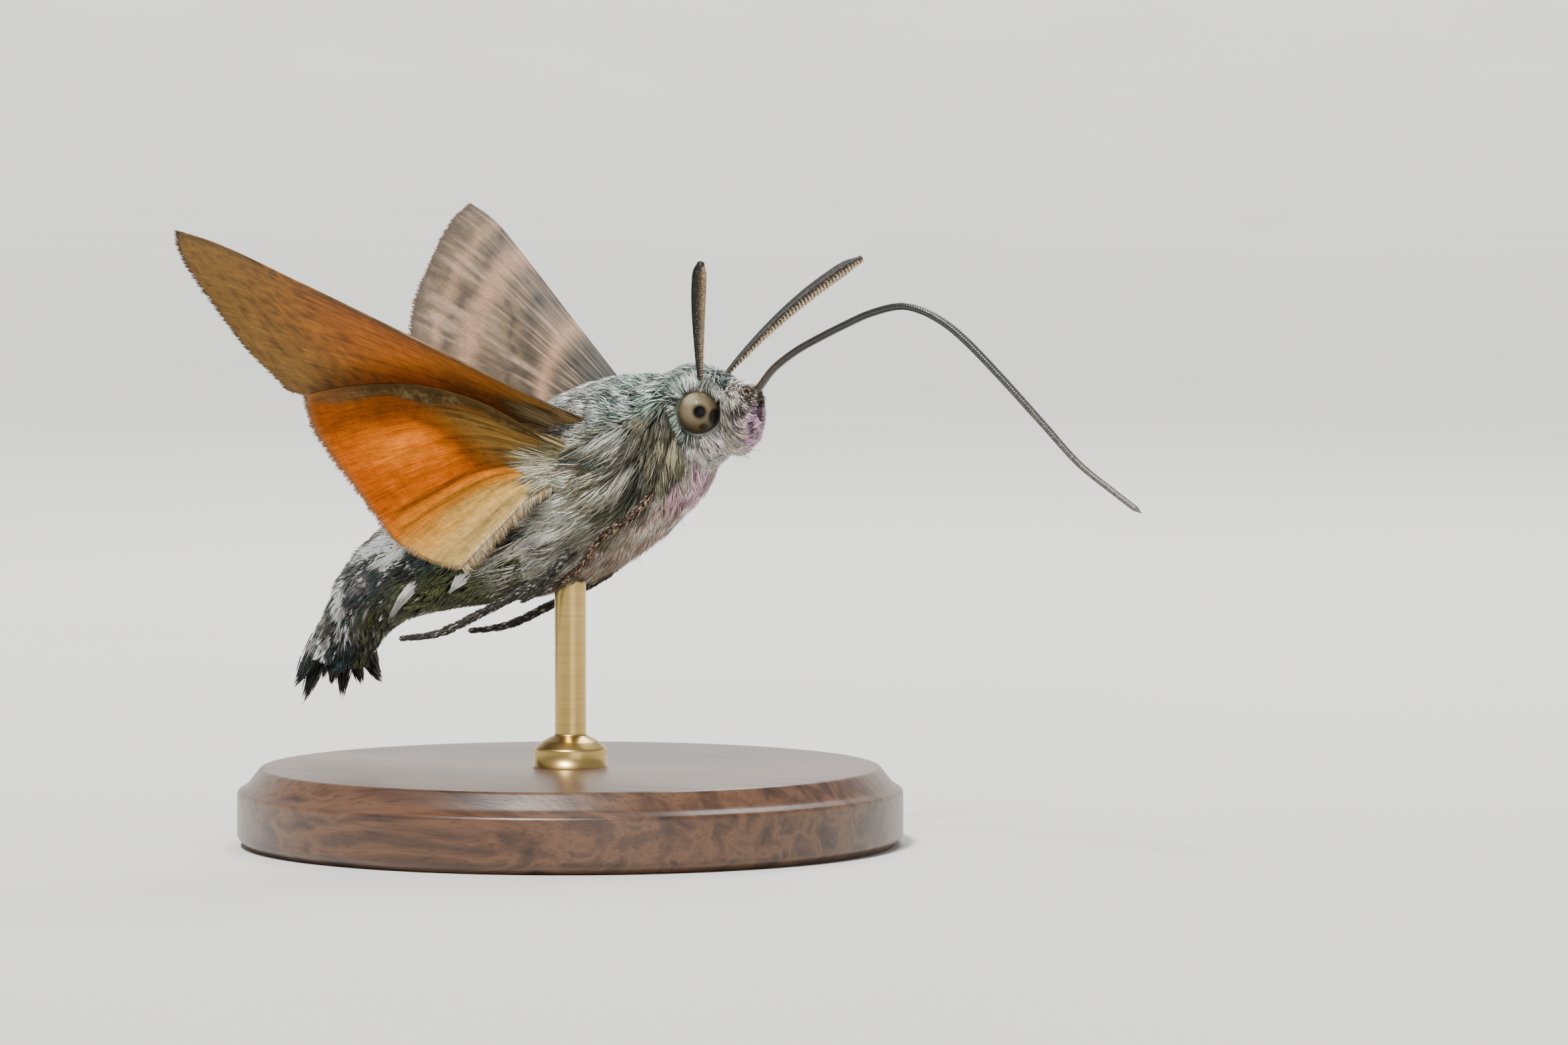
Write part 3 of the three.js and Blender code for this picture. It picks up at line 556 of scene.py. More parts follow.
# Each kind of hair has its colours and how common they are. Markings then choose the kind by place
def trunk_tones(t, e, lock, strand):
    x = dice(lock, strand, 0.6)
    y = dice(lock, strand, 0.25)
    side = pick(["#434A3E", "#6F7768", "#A2A692", "#D9D6C2", "#F5F2E8", "#A58D66", "#5F5038"],
                [0.17, 0.18, 0.17, 0.19, 0.12, 0.1, 0.07], x)
    back = pick(["#4C5F56", "#768A80", "#A6B5AC", "#F0F6EC", "#253730"], [0.22, 0.22, 0.16, 0.23, 0.17], y)
    cape = pick(["#B2B6AE", "#FBF8F2", "#D0B8AC", "#626C66"], [0.22, 0.34, 0.18, 0.26], y)
    chest = pick(["#D8B8A8", "#ECDACA", "#967A66", "#FAF2E6", "#64503E"], [0.25, 0.27, 0.14, 0.24, 0.1], x)
    throat = pick(["#D8A2BC", "#E8C4D0", "#A87890", "#F4E2E4"], [0.34, 0.3, 0.16, 0.2], x)
    strip = pick(["#5A523E", "#7E765C", "#2C281D", "#A09A80"], [0.32, 0.25, 0.25, 0.18], x)
    silver = pick(["#B4B6A6", "#E6E2D2", "#FAF8EE", "#4E5244"], [0.22, 0.28, 0.28, 0.22], x)
    belly = pick(["#3E4A20", "#565E2E", "#272E1A", "#6C6E40"], [0.35, 0.25, 0.25, 0.15], y)
    flank = pick(["#242822", "#38382E", "#544C40", "#161B1D"], [0.3, 0.25, 0.2, 0.25], y)
    top = pick(["#665F52", "#857B69", "#423D34", "#A0968A"], [0.35, 0.25, 0.25, 0.15], y)
    # The white is raised past full white: painted light that keeps these patches bright
    white = pick(["#FFFFFA", "#F4FAF6", "#A9B4B2"], [0.6, 0.28, 0.12], y) * 1.25
    black = pick(["#142A2F", "#203A3D", "#0C1618"], [0.4, 0.3, 0.3], y)
    grey = pick(["#A5A4A0", "#7C7A76", "#C8C6C4"], [0.4, 0.3, 0.3], x)

    thorax = mix(side, silver, soft(-e, -6, 14) * soft(t, 2.6, 4.0) * (1 - soft(-e, 50, 66)) * 0.75)
    thorax = mix(thorax, back, soft(e, 16, 30))
    thorax = mix(thorax, cape, soft(e, 20, 34) * soft(t, 1.8, 3.6) * 0.8)
    front = soft(-t, -1.9, -0.8) * soft(e, -45, -25) * (1 - soft(e, 12, 22))
    thorax = mix(thorax, strip, front * 0.7)
    thorax = mix(thorax, chest, soft(-e, 40, 66) * (1 - soft(t, 3.2, 5.0)) * 0.85)
    thorax = mix(thorax, throat, soft(-e, 36, 66) * (1 - soft(t, 0.3, 1.8)) * 0.85)
    thorax = mix(thorax, strip, soft(-e, 45, 70) * soft(t, 3.4, 5.0) * 0.5)
    # Two tan lapels down the front of the side, with painted shadow in the hollow behind each
    lapels = spot(t, e, 0.45, -14, 0.5, 18) + spot(t, e, 2.6, -36, 0.6, 14)
    thorax = mix(thorax, strip, np.clip(lapels, 0, 1) * 0.8)
    # Painted shadow: the thorax is darkened in the hollows behind the lapels and low on its side near its end
    hollow_shadow = (spot(t, e, 1.5, -12, 0.4, 16) + spot(t, e, 3.6, -40, 0.5, 10)
              + 0.7 * spot(t, e, 5.6, -52, 0.8, 8))
    thorax = thorax * (1 - 0.5 * np.clip(hollow_shadow, 0, 1))[:, None]
    abdomen = mix(flank, top, soft(e, 18, 42))
    abdomen = mix(abdomen, belly, soft(-e, 8, 30))
    # White patches along the side, set off by black ones
    light = (spot(t, e, 11.4, 30, 0.8, 15) + 1.1 * spot(t, e, 10.1, 8, 0.75, 13)
             + spot(t, e, 14.3, -14, 0.4, 9) + spot(t, e, 13.5, 20, 0.5, 12) + spot(t, e, 16.2, 26, 0.5, 24))
    dark = (spot(t, e, 12.4, 8, 1.0, 26) + spot(t, e, 11.5, -8, 0.7, 12) + spot(t, e, 9.2, 0, 0.9, 16)
            + 1.4 * spot(t, e, 15.6, -34, 1.5, 28))
    patches = (0.6 * mottle(t, e, 0.42, 7, 31) + 0.4 * mottle(t, e, 0.18, 3, 33)
               + 0.25 * (lock[:, 4] - 0.5))
    behind = soft(t, 10.6, 12.6) * (1 - 0.6 * soft(-e, 12, 40))
    abdomen = mix(abdomen, black, np.clip(dark * 1.3, 0, 1))
    above = 1 - soft(t, 14.6, 15.6) * soft(-e, -8, 8)
    abdomen = mix(abdomen, grey, soft(patches, 0.45, 0.6) * behind * above * 0.85)
    abdomen = mix(abdomen, black, soft(-patches, -0.34, -0.22) * behind * 0.9)
    light = soft(np.clip(light, 0, 1) + 1.3 * (patches - 0.5), 0.42, 0.54)
    abdomen = mix(abdomen, white, light)
    tip = mix(thorax, abdomen, soft(t + 0.6 * (lock[:, 4] - 0.5), THORAX_END - 0.2, THORAX_END + 0.3))
    # Painted shade and light by each hair's height, which the white patches are spared
    tip = tip * np.maximum(painted_shading(lock, strand), light[:, None])
    # Painted shadow: a dark line under the edge of the back's short fur, darkest in front of the wing
    fur_edge_shadow = 0.65 * spot(t, e, 1.6, 15, 1.7, 5) + 0.5 * spot(t, e, 0.5, 9, 0.45, 9)
    tip = tip * (1 - np.clip(fur_edge_shadow, 0, 0.8))[:, None]
    # Each hair's root is darkened as painted shade deep in the coat
    return tip * mix(np.array([SIDE_ROOT_SHADE]), np.array([BACK_ROOT_SHADE]), soft(e, 16, 34)), tip


def head_tones(t, e, lock, strand):
    y = dice(lock, strand, 0.3)
    crown = pick(["#526462", "#86968E", "#24302F", "#C0C8BE", "#EEF2E8"], [0.27, 0.23, 0.25, 0.14, 0.11], y)
    cheek = pick(["#DAD2C8", "#F6F2EC", "#CDB0B0", "#8A8074"], [0.3, 0.34, 0.2, 0.16], y)
    nape = pick(["#55625A", "#8E998C", "#E6EADC", "#28322B"], [0.3, 0.27, 0.14, 0.29], y)
    brow = pick(["#F0ECE0", "#D8D2C2", "#FBF9F2", "#A39C8C"], [0.35, 0.2, 0.3, 0.15], y)
    dark = pick(["#2C302E", "#3E4240", "#1E2020"], [0.4, 0.3, 0.3], y)
    tip = mix(cheek, crown, soft(e, -4, 22))
    tip = mix(tip, nape, (1 - soft(t, 0.7, 1.6)) * soft(e, -34, -14) * (1 - soft(e, 30, 55)))
    pale = spot(t, e, 3.6, 45, 0.8, 12) * 1.2 + spot(t, e, 2.0, 33, 0.35, 7) * 0.8
    tip = mix(tip, brow, np.clip(pale, 0, 1))
    lore = spot(t, e, 3.9, 24, 0.7, 7) * 1.5 + 0.8 * spot(t, e, 2.9, 66, 0.6, 12)
    tip = mix(tip, dark, np.clip(lore, 0, 1))
    # Painted shade and light by each hair's height
    tip = tip * painted_shading(lock, strand)
    # Each hair's root is darkened as painted shade deep in the coat
    return tip * FACE_ROOT_SHADE, tip


def snout_tones(t, e, lock, strand):
    y = dice(lock, strand, 0.3)
    cream = pick(["#E0D4C6", "#C8B4A0", "#F6F1E8", "#8E7460"], [0.28, 0.22, 0.34, 0.16], y)
    rosy = pick(["#DDB8C8", "#EED6DC", "#C494AC", "#F4EAE8"], [0.3, 0.25, 0.2, 0.25], y)
    mauve = pick(["#BC8AAE", "#D4A8C2", "#8A5480", "#EAD6E0", "#A87088"], [0.26, 0.24, 0.14, 0.22, 0.14], y)
    dusky = pick(["#54463A", "#2A231E", "#7C6E5E", "#E8E0D2"], [0.34, 0.34, 0.17, 0.15], y)
    brow = pick(["#F2EEE2", "#D8D2C2", "#A39C8C"], [0.55, 0.28, 0.17], y)
    dark = pick(["#2A2624", "#1C1A1A"], [0.6, 0.4], y)
    front = t + 1.2 * soft(-e, 20, 65) + 0.9 * (mottle(t, e, 0.3, 12, 32) - 0.5)
    tip = mix(cream, rosy, soft(front, 1.2, 2.0) * soft(e, -86, -76))
    tip = mix(tip, mauve, soft(front, 1.9, 2.7) * soft(e, -86, -76) * 0.85)
    tip = mix(tip, dusky, soft(e, 14, 30) * soft(t, 0.5, 1.1))
    tip = mix(tip, brow, np.clip(spot(t, e, 0.3, 46, 0.5, 10) * 1.4, 0, 1))
    tip = mix(tip, dark, np.clip(spot(t, e, 1.0, 26, 0.45, 8) * 1.8, 0, 1))
    tip = mix(tip, dark, spot(t, e, 3.9, -50, 0.3, 22) * 0.7)
    # Painted shade and light by each hair's height
    tip = tip * painted_shading(lock, strand)
    # Each hair's root is darkened as painted shade deep in the coat
    return tip * FACE_ROOT_SHADE, tip


# Skin: one surface from the snout to the tail's root, under the coat
EYE_AT = (1.55, 2)  # station and angle of the eye on the head


def coat_depth(t, e):
    long = soft(t, 0.2, 1.6) * (1 - soft(t, THORAX_END - 0.1, THORAX_END + 0.5)) * (1 - soft(e, 17, 58))
    return FUR_DEPTH + (COAT_DEPTH - FUR_DEPTH) * long


def head_depth(t, e):
    """Less of it round the eye, so that the hair comes up to the eye's edge."""
    along, up = (t - EYE_AT[0]) * 0.62, (e - EYE_AT[1]) * 0.036
    return FUR_DEPTH - 0.12 * np.exp(-((np.hypot(along, up) / 1.4) ** 6)) + head_hollow(t, e)


def snout_depth(t, e):
    return FUR_DEPTH + snout_hollow(t, e)


def head_hollow(t, e):
    """The face drops in front of the eye, which stands clear of it."""
    return 0.6 * spot(t, e, 3.9, 2, 1.3, 22)


def snout_hollow(t, e):
    return 0.6 * spot(t, e, 0, 2, 0.9, 22)


BODY_PARTS = (
    (TRUNK, 0, SKIN_END, coat_depth, trunk_tones),
    (HEAD, 0, 4, head_depth, head_tones),
    (SNOUT, 0, 3.9, snout_depth, snout_tones),
)
ROUND = 72  # points in each ring
SKIN_VOXEL = 0.15
# Painted shade: the skin is painted darker than the coat's roots, as in the shade of the fur
SKIN_SHADE = 0.55  # of the coat's own roots


def body_rings(stations, start, end, depth, steps):
    angle = np.linspace(-90, 270, ROUND, endpoint=False)
    side = np.where(angle <= 90, LEFT, RIGHT)
    e = np.where(angle <= 90, angle, 180 - angle)
    rings = [body(stations, np.full(ROUND, t), e, side, -depth(np.full(ROUND, t), e))
             for t in np.linspace(start, end, steps)]
    if stations is TRUNK:
        return rings
    # The head and the snout start inside what carries them
    middle = rings[0].mean(0)
    return [middle + (rings[0] - middle) * 0.9 - (0.9, 0, 0), *rings]


def skin():
    points, faces, first = [], [[], []], 0
    for stations, start, end, depth, _ in BODY_PARTS:
        p, (quads, caps) = loft(body_rings(stations, start, end, depth, 12 * int(end - start + 1)))
        points.append(p)
        faces[0].append(quads + first)
        faces[1].append(caps + first)
        first += len(p)
    piece = make_mesh("skin", np.concatenate(points), [np.concatenate(f) for f in faces])
    modifier = piece.modifiers.new("skin", "REMESH")
    modifier.mode = "VOXEL"
    modifier.voxel_size = SKIN_VOXEL * MM
    modifier.use_smooth_shade = True
    modifier = piece.modifiers.new("even", "SMOOTH")
    modifier.factor = 0.5
    modifier.iterations = 6
    made = bpy.data.meshes.new_from_object(piece.evaluated_get(bpy.context.evaluated_depsgraph_get()))
    piece.modifiers.clear()
    piece.data = made

    # Each vertex takes the coat's root colour there, darkened as painted shade under the fur
    samples, tones = [], []
    for stations, start, end, _, marking in BODY_PARTS:
        t, e, side = (a.ravel() for a in np.meshgrid(
            np.linspace(start, end, 14 * int(end - start + 1)), np.linspace(-88, 88, 60), (RIGHT, LEFT)))
        even = np.full((len(t), 5), 0.5)
        samples.append(place(body(stations, t, e, side, -FUR_DEPTH)))
        tones.append(marking(t, e, even, even)[0])
    samples, tones = np.concatenate(samples), np.concatenate(tones)
    tree = KDTree(len(samples))
    for i, p in enumerate(samples):
        tree.insert(p, i)
    tree.balance()
    add_tone(made, tones[[tree.find(v.co)[1] for v in made.vertices]] * SKIN_SHADE)
    return piece


hand_in(skin(), cuticle, "coat", "collar", "thorax", "abdomen_front", "abdomen_middle", "abdomen_rear",
        "head", "palp_right", "palp_left")


# Coat
def side_way(t, e):
    front = np.exp(-(np.maximum(t, 0) / 1.7) ** 2) * (1 - soft(e, 14, 40))
    return 52 * front - 12 * soft(e, -28, 8) * (1 - front) * (1 - soft(e, 20, 40)) + 6 * soft(-e, 20, 60)


def face_way(t, e):
    """Back over the crown, down the cheeks, and away from the eye all round it."""
    base = np.radians(180 - 75 * soft(-e, -30, 25) - (130 - 55 * soft(-e, -30, 25)) * soft(t, 2.5, 3.3))
    along, up = (t - EYE_AT[0]) * 0.62, (e - EYE_AT[1]) * 0.036
    near = np.exp(-((np.hypot(along, up) / 1.55) ** 4))
    a = np.cos(base) * (1 - near) + along * near * 0.7
    b = -np.sin(base) * (1 - near) + up * near * 0.7
    return np.degrees(np.arctan2(-b, a))


def off_eyes(points):
    """True for roots that are clear of the eyes."""
    return np.linalg.norm(np.abs(points) - EYE, axis=-1) > EYE_RADIUS + 0.06


# Styles: way and sway are the lie of a lock in degrees, stray that of a hair in it. top and loose are
# how high the tips stand, rise how soon, clump how closely a lock's tips meet
LONG = {
    "length": lambda t, e: 1.4 + 1.2 * soft(t, 0.3, 2.4) + 0.7 * soft(t, 4, 5.5) * soft(-e, 0, 25),
    "way": side_way, "sway": 15, "stray": 7, "locks": 270, "clump": 0.74, "depth": coat_depth,
    "top": -0.06, "loose": 0.66, "rise": 0.6, "width": 0.068, "limits": (-0.4, 9),
}
SHORT = {
    "length": lambda t, e: 0.75 + 0.35 * soft(t, 2, 5), "way": side_way, "sway": 14, "stray": 13,
    "locks": 420, "clump": 0.35, "depth": coat_depth, "top": 0.05, "loose": 0.26, "rise": 0.85,
    "width": 0.075, "limits": (-0.4, 8),
}
CHEST = {
    **SHORT, "length": lambda t, e: 1.2 + 0.6 * soft(t, 1, 4), "way": lambda t, e: 8 + 0 * t,
    "locks": 160, "clump": 0.5, "top": 0.05, "loose": 0.4, "rise": 0.8, "width": 0.08,
}
RUFF = {
    "length": lambda t, e: 1.25 + 0 * t, "way": lambda t, e: 180 - 62 * soft(-e, -12, 45), "sway": 14,
    "stray": 8, "locks": 110, "clump": 0.4, "top": 0.14, "loose": 0.3, "rise": 0.8, "width": 0.05,
    "limits": (-2.6, 4), "depth": lambda t, e: np.full(len(t), FUR_DEPTH), "keep": off_eyes,
}
SCALES = {
    "length": lambda t, e: 0.62 + 0.2 * soft(e, -10, 20), "way": lambda t, e: 0 * t, "sway": 8,
    "stray": 7, "locks": 520, "clump": 0.15, "depth": coat_depth, "top": 0.02, "loose": 0.1,
    "width": 0.16, "thick": 0.2, "limits": (5.5, 17),
}
TUFTS = {
    "length": lambda t, e: 1.2 + 0 * t, "way": lambda t, e: 6 - 0.35 * e, "sway": 12, "stray": 9,
    "locks": 120, "clump": 0.5, "depth": coat_depth, "top": 0.1, "loose": 0.26, "rise": 0.8,
    "width": 0.1, "thick": 0.25, "limits": (8, 17.4),
}
WHITE_LOCKS = {
    "at": [(9.9, -23), (9.95, -25), (9.95, -25), (8.4, -34)],
    "spread": (0.11, 2.6), "length": lambda t, e: 2.6 - 1.4 * soft(-t, -9.2, -8.8),
    "way": lambda t, e: 24 + 0 * t, "sway": 1, "stray": 2, "clump": 0.97, "depth": coat_depth,
    "top": 0.34, "loose": 0.16, "rise": 0.7, "width": 0.08, "thick": 0.25, "limits": (8, 18),
}
GUARD = {
    "at": [(-0.1, 62), (0.3, 78), (1.3, -84), (2.2, -86), (3.4, -84)], "spread": (0.3, 8), "clump": 0,
    "length": lambda t, e: 2.2 + 0 * t, "way": lambda t, e: np.where(e > 0, 30, 60), "sway": 30, "stray": 20,
    "depth": coat_depth, "top": 0.75, "loose": 0.5, "rise": 0.9, "width": 0.02, "limits": (-1.5, 8),
}
BRISTLES = {
    "at": [(0.6, -78), (0.9, -84), (1.3, -80)], "spread": (0.25, 5), "clump": 0,
    "length": lambda t, e: 0.9 + 0 * t, "way": lambda t, e: 80 + 0 * t, "sway": 40, "stray": 20,
    "depth": lambda t, e: np.full(len(t), FUR_DEPTH), "top": 0.6, "loose": 0.3, "rise": 1.2,
    "width": 0.022, "limits": (-0.5, 3.9),
}
FACE = {
    "length": lambda t, e: 0.62 + 0.25 * soft(e, 10, 60) + 0.3 * soft(-e, 20, 50), "way": face_way,
    "sway": 14, "stray": 12, "locks": 260, "clump": 0.35, "depth": head_depth, "top": 0.06, "loose": 0.3,
    "rise": 0.9, "width": 0.052, "limits": (-1.2, 5), "keep": off_eyes, "sink": head_hollow,
}
PALPS = {
    "length": lambda t, e: 1.05 - 0.8 * soft(t, 1.2, 2.2) - 0.5 * soft(e, 34, 55) * soft(-t, -1.2, 0.6),
    "way": lambda t, e: 58 - 40 * soft(t, 0.8, 2.6), "sway": 14, "stray": 13, "locks": 170, "clump": 0.32,
    "depth": snout_depth, "top": 0.1, "loose": 0.28, "rise": 0.9, "width": 0.062, "limits": (-1, 3.97),
    "keep": off_eyes, "sink": snout_hollow,
}
RIGHT_ONLY, LEFT_ONLY, BOTH = (RIGHT,), (LEFT,), (RIGHT, LEFT)


def plain(code):
    """One colour, a little lighter or darker from hair to hair."""
    def tones(t, e, lock, strand):
        tip = linear(code) * (0.8 + 0.4 * strand[:, 4:5])
        return tip * 0.6, tip
    return tones


COATS = {  # body part, hairs, stretch in stations and in degrees, style, colours, seed, sides, finish, slot
    "coat_side_right": (TRUNK, 10000, (-0.2, 6.2), (-74, 26), LONG, trunk_tones, 3, RIGHT_ONLY, hair, "coat"),
    "coat_side_left": (TRUNK, 10000, (-0.2, 6.2), (-74, 26), LONG, trunk_tones, 4, LEFT_ONLY, hair, "coat"),
    "coat_back": (TRUNK, 11400, (-0.3, 6.8), (18, 90), SHORT, trunk_tones, 5, BOTH, hair, "coat"),
    "coat_chest": (TRUNK, 6000, (-0.3, 6.3), (-90, -55), CHEST, trunk_tones, 6, BOTH, hair, "coat"),
    "coat_ruff": (HEAD, 2600, (-0.1, 0.75), (-70, 88), RUFF, head_tones, 11, BOTH, hair, "coat"),
    "coat_abdomen": (
        TRUNK, 11000, (6.2, 16.6), (-90, 90), SCALES, trunk_tones, 7, BOTH, lamellar, "abdomen"),
    "coat_tufts": (TRUNK, 5200, (9.0, 16.2), (-42, 52), TUFTS, trunk_tones, 8, BOTH, lamellar, "abdomen"),
    "coat_white_locks": (
        TRUNK, 560, (8, 17), (-45, 40), WHITE_LOCKS, plain("#FFFFFA"), 14, BOTH, lamellar, "abdomen"),
    "coat_guard_hairs": (TRUNK, 26, (-1, 5), (-90, 90), GUARD, plain("#F4F4EE"), 15, BOTH, hair, "coat"),
    "chin_bristles": (SNOUT, 16, (0, 2), (-90, -60), BRISTLES, plain("#2E2A26"), 16, BOTH, hair, "palps"),
    "coat_head": (HEAD, 8400, (-0.2, 4.0), (-90, 90), FACE, head_tones, 9, BOTH, hair, "coat"),
    "coat_palps": (SNOUT, 6000, (-0.7, 3.9), (-90, 90), PALPS, snout_tones, 10, BOTH, hair, "palps"),
}
for name, (*how, finish, slot) in COATS.items():
    hand_in(grow(name, *how), finish, slot)


# Tail fan: lobes of long scales
def tail():
    rng = np.random.default_rng(12)
    across, down = unit(FAN["across"]), unit(FAN["down"])
    back = np.cross(across, down)
    count = FAN["scales"]
    paths, normals, widths, roots, tips, uvs = [], [], [], [], [], []
    for layer, (root, lengths) in enumerate(zip(FAN["roots"], FAN["lengths"])):
        bend = -0.3 if layer else 0.3
        for share, length in zip(np.linspace(-1, 1, len(lengths)), lengths):
            turn = math.radians(share * FAN["spread"])
            way = down * math.cos(turn) + across * math.sin(turn)
            edge = across * math.cos(turn) - down * math.sin(turn)
            u = rng.normal(0, 0.5, count).clip(-1, 1)
            start = rng.uniform(-1.3, 0.5 * length, count)
            end = np.minimum(start + rng.uniform(0.9, 1.6, count), length * rng.uniform(0.6, 1.0, count))
            run = start[:, None] + (end - start)[:, None] * SHARES
            taper = 1 - 0.82 * np.clip(run / length, 0, 1) ** 1.3
            side_step = 0.45 * u[:, None] * taper + 0.05 * rng.standard_normal((count, 1)) * SHARES
            rise = bend * np.clip(run / length, 0, 1) ** 2 + 0.22 * rng.standard_normal((count, 1)) * taper
            base = root + across * (share * FAN["root_width"] / 2)
            path = base + run[..., None] * way + side_step[..., None] * edge + rise[..., None] * back
            paths.append(path)
            normals.append(np.broadcast_to(back * (1 if layer else -1), path.shape))
            widths.append(rng.uniform(0.06, 0.11, count))
            tone = pick(["#142020", "#262A22", "#453C28", "#101A1E"], [0.4, 0.25, 0.1 + 0.15 * layer, 0.25],
                        rng.random(count))
            grey = (share < -0.5) & (run[:, 3] < 0.9) & (rng.random(count) < 0.5 - 0.4 * layer)
            tone = mix(tone, np.broadcast_to(linear("#BDB8B2"), tone.shape), grey * 0.9)
            roots.append(tone * 0.6)
            tips.append(tone * rng.uniform(0.7, 1.4, (count, 1)))
            v = 0.25 + 0.5 * layer + 0.1 * rng.random(count)
            uvs.append(np.stack([0.5 + 0.42 * share + 0.03 * u, v], -1))
    return hairs("tail_fan_scales", *(np.concatenate(a) for a in (paths, normals, widths)),
                 (np.concatenate(roots), np.concatenate(tips)), np.concatenate(uvs), 0.3)


hand_in(tail(), lamellar, "tail", "tail_fan")


# Eyes
# The first mark is a painted highlight, a pale patch at the eye's upper left; the others are dark false
# pupils and a dark patch low on the eye
EYE_MARKS = (  # across and up from the eye's near point, cosines where the mark starts and is full, colour
    (-0.45, 0.7, 0.88, 1.04, "#938C70"), (0.04, 0.02, 0.9, 0.97, "#3A301D"),
    (0.04, 0.02, 0.955, 0.972, "#010202"), (0.8, -0.2, 0.9, 0.965, "#0C0A07"),
    (0.22, -0.74, 0.965, 0.993, "#2C2314"),
)
FACET = 0.045


def eye_finish(name, side):
    """Compound eye: smooth and glassy, khaki, with the dark false pupils that a whole eye shows, a painted
    highlight and painted shade.
    """
    made, tree, principled = material("compound_eye_" + name, Roughness=0.32, Specular_IOR_Level=0.1,
                                      Coat_Weight=0.06, Coat_Roughness=0.06)
    where = node(tree, "ShaderNodeTexCoord").outputs["Object"]
    out = node(tree, "ShaderNodeVectorMath", {0: where, 1: place(EYE * (1, side, 1))}, operation="SUBTRACT")
    out = node(tree, "ShaderNodeVectorMath", {0: out.outputs["Vector"]}, operation="NORMALIZE")
    near = towards(AZIMUTH, ELEVATION)
    right = np.array([math.cos(math.radians(AZIMUTH)), math.sin(math.radians(AZIMUTH)), 0])
    above = np.cross(near, right)

    def nearness(across, up):
        """The cosine of the angle from a place on the eye, mirrored on the left eye."""
        a, b = across / EYE_RADIUS, up / EYE_RADIUS
        way = near * math.sqrt(1 - a * a - b * b) + right * a + above * b
        cosine = node(tree, "ShaderNodeVectorMath", {
            0: out.outputs["Vector"], 1: tuple(way * (1, -side, 1))}, operation="DOT_PRODUCT")
        return cosine.outputs["Value"]

    # Painted light and shade: lightest a little above and left of the point nearest the camera, and darker
    # towards the eye's edge
    base = node(tree, "ShaderNodeValToRGB", {"Fac": nearness(-0.15, 0.2)}, [
        (0.0, "#1C150C"), (0.3, "#30261A"), (0.55, "#4A402B"), (0.8, "#635842"), (0.95, "#6E634C"),
        (1.0, "#635842")]).outputs["Color"]
    for across, up, start, end, code in EYE_MARKS:
        share = node(tree, "ShaderNodeMapRange", {
            "Value": nearness(across, up), "From Min": start, "From Max": end},
            interpolation_type="SMOOTHSTEP")
        base = node(tree, "ShaderNodeMix", {"Factor": share.outputs["Result"], 6: base, 7: rgba(code)},
                    data_type="RGBA").outputs[2]
    facets = node(tree, "ShaderNodeTexVoronoi", {
        "Vector": where, "Scale": 1 / (FACET * MM), "Randomness": 0.25})
    joined(tree, principled, base, node(tree, "ShaderNodeBump", {
        "Height": facets.outputs["Distance"], "Distance": 0.004 * MM, "Strength": 0.35}))
    return made


def eyeball(name, side):
    rounds, slices = 48, 96
    a = np.linspace(0, np.pi, rounds)[1:-1, None, None]
    b = np.linspace(0, 2 * np.pi, slices, endpoint=False)[None, :, None]
    way = np.concatenate([np.sin(a) * np.cos(b), np.sin(a) * np.sin(b), np.cos(a) + 0 * b], -1)
    rings = EYE * (1, side, 1) + way * EYE_RADIUS
    piece = outward(make_mesh("eye_" + name, *loft(rings)))
    hand_in(piece, eye_finish(name, side), "eyes", "eye_" + name)


for name, side in SIDES.items():
    eyeball(name, side)


# Wings
def wing_axes(side):
    w, r, f = (math.radians(a) for a in WING_ANGLES[side])
    span = np.array([-math.cos(r) * math.cos(w), side * math.cos(r) * math.sin(w), math.sin(r)])
    level = np.array([-math.sin(w), -side * math.cos(w), 0])
    above = np.cross(span, level) * side
    chord = level * math.cos(f) - above * math.sin(f)
    return span, chord, np.cross(span, chord) * side


def patch(wing, u, v):
    """A point between a wing's four edges: u from root to outer edge, v from costa to inner edge."""
    front, rear, near, far = (spline(wing[edge], s * (len(wing[edge]) - 1)) for edge, s in (
        ("costa", u), ("inner", u), ("root", v), ("outer", v)))
    u, v = u[..., None], v[..., None]
    root, outer = np.array(wing["root"], float), np.array(wing["outer"], float)
    corners = (1 - v) * ((1 - u) * root[0] + u * outer[0]) + v * ((1 - u) * root[-1] + u * outer[-1])
    return (1 - v) * front + v * rear + (1 - u) * near + u * far - corners


def bulge(u, v):
    return np.sin(np.pi * v) * np.sin(np.pi * (0.15 + 0.85 * u))


def forewing_point(side, u, v):
    span, chord, above = wing_axes(side)
    flat = patch(FOREWING, u, v)
    rise = FOREWING["camber"] * bulge(u, v)
    return (FOREWING_HUB * (1, side, 1) + flat[..., :1] * span + flat[..., 1:] * chord
            + rise[..., None] * above)


def hindwing_point(side, u, v):
    flat = patch(HINDWING, u, v)
    swell = HINDWING["camber"] * bulge(u, v)
    return np.stack([flat[..., 0] - swell, side * (flat[..., 1] - swell / 2), flat[..., 2] + swell], -1)


def wing_frame(point, side, u, v):
    step = 0.004
    du = point(side, u + step, v) - point(side, u - step, v)
    dv = point(side, u, v + step) - point(side, u, v - step)
    normal = unit(np.cross(du, dv))
    return normal * np.sign((normal * (0, 0, 1)).sum(-1).mean()), du / (2 * step), dv / (2 * step)


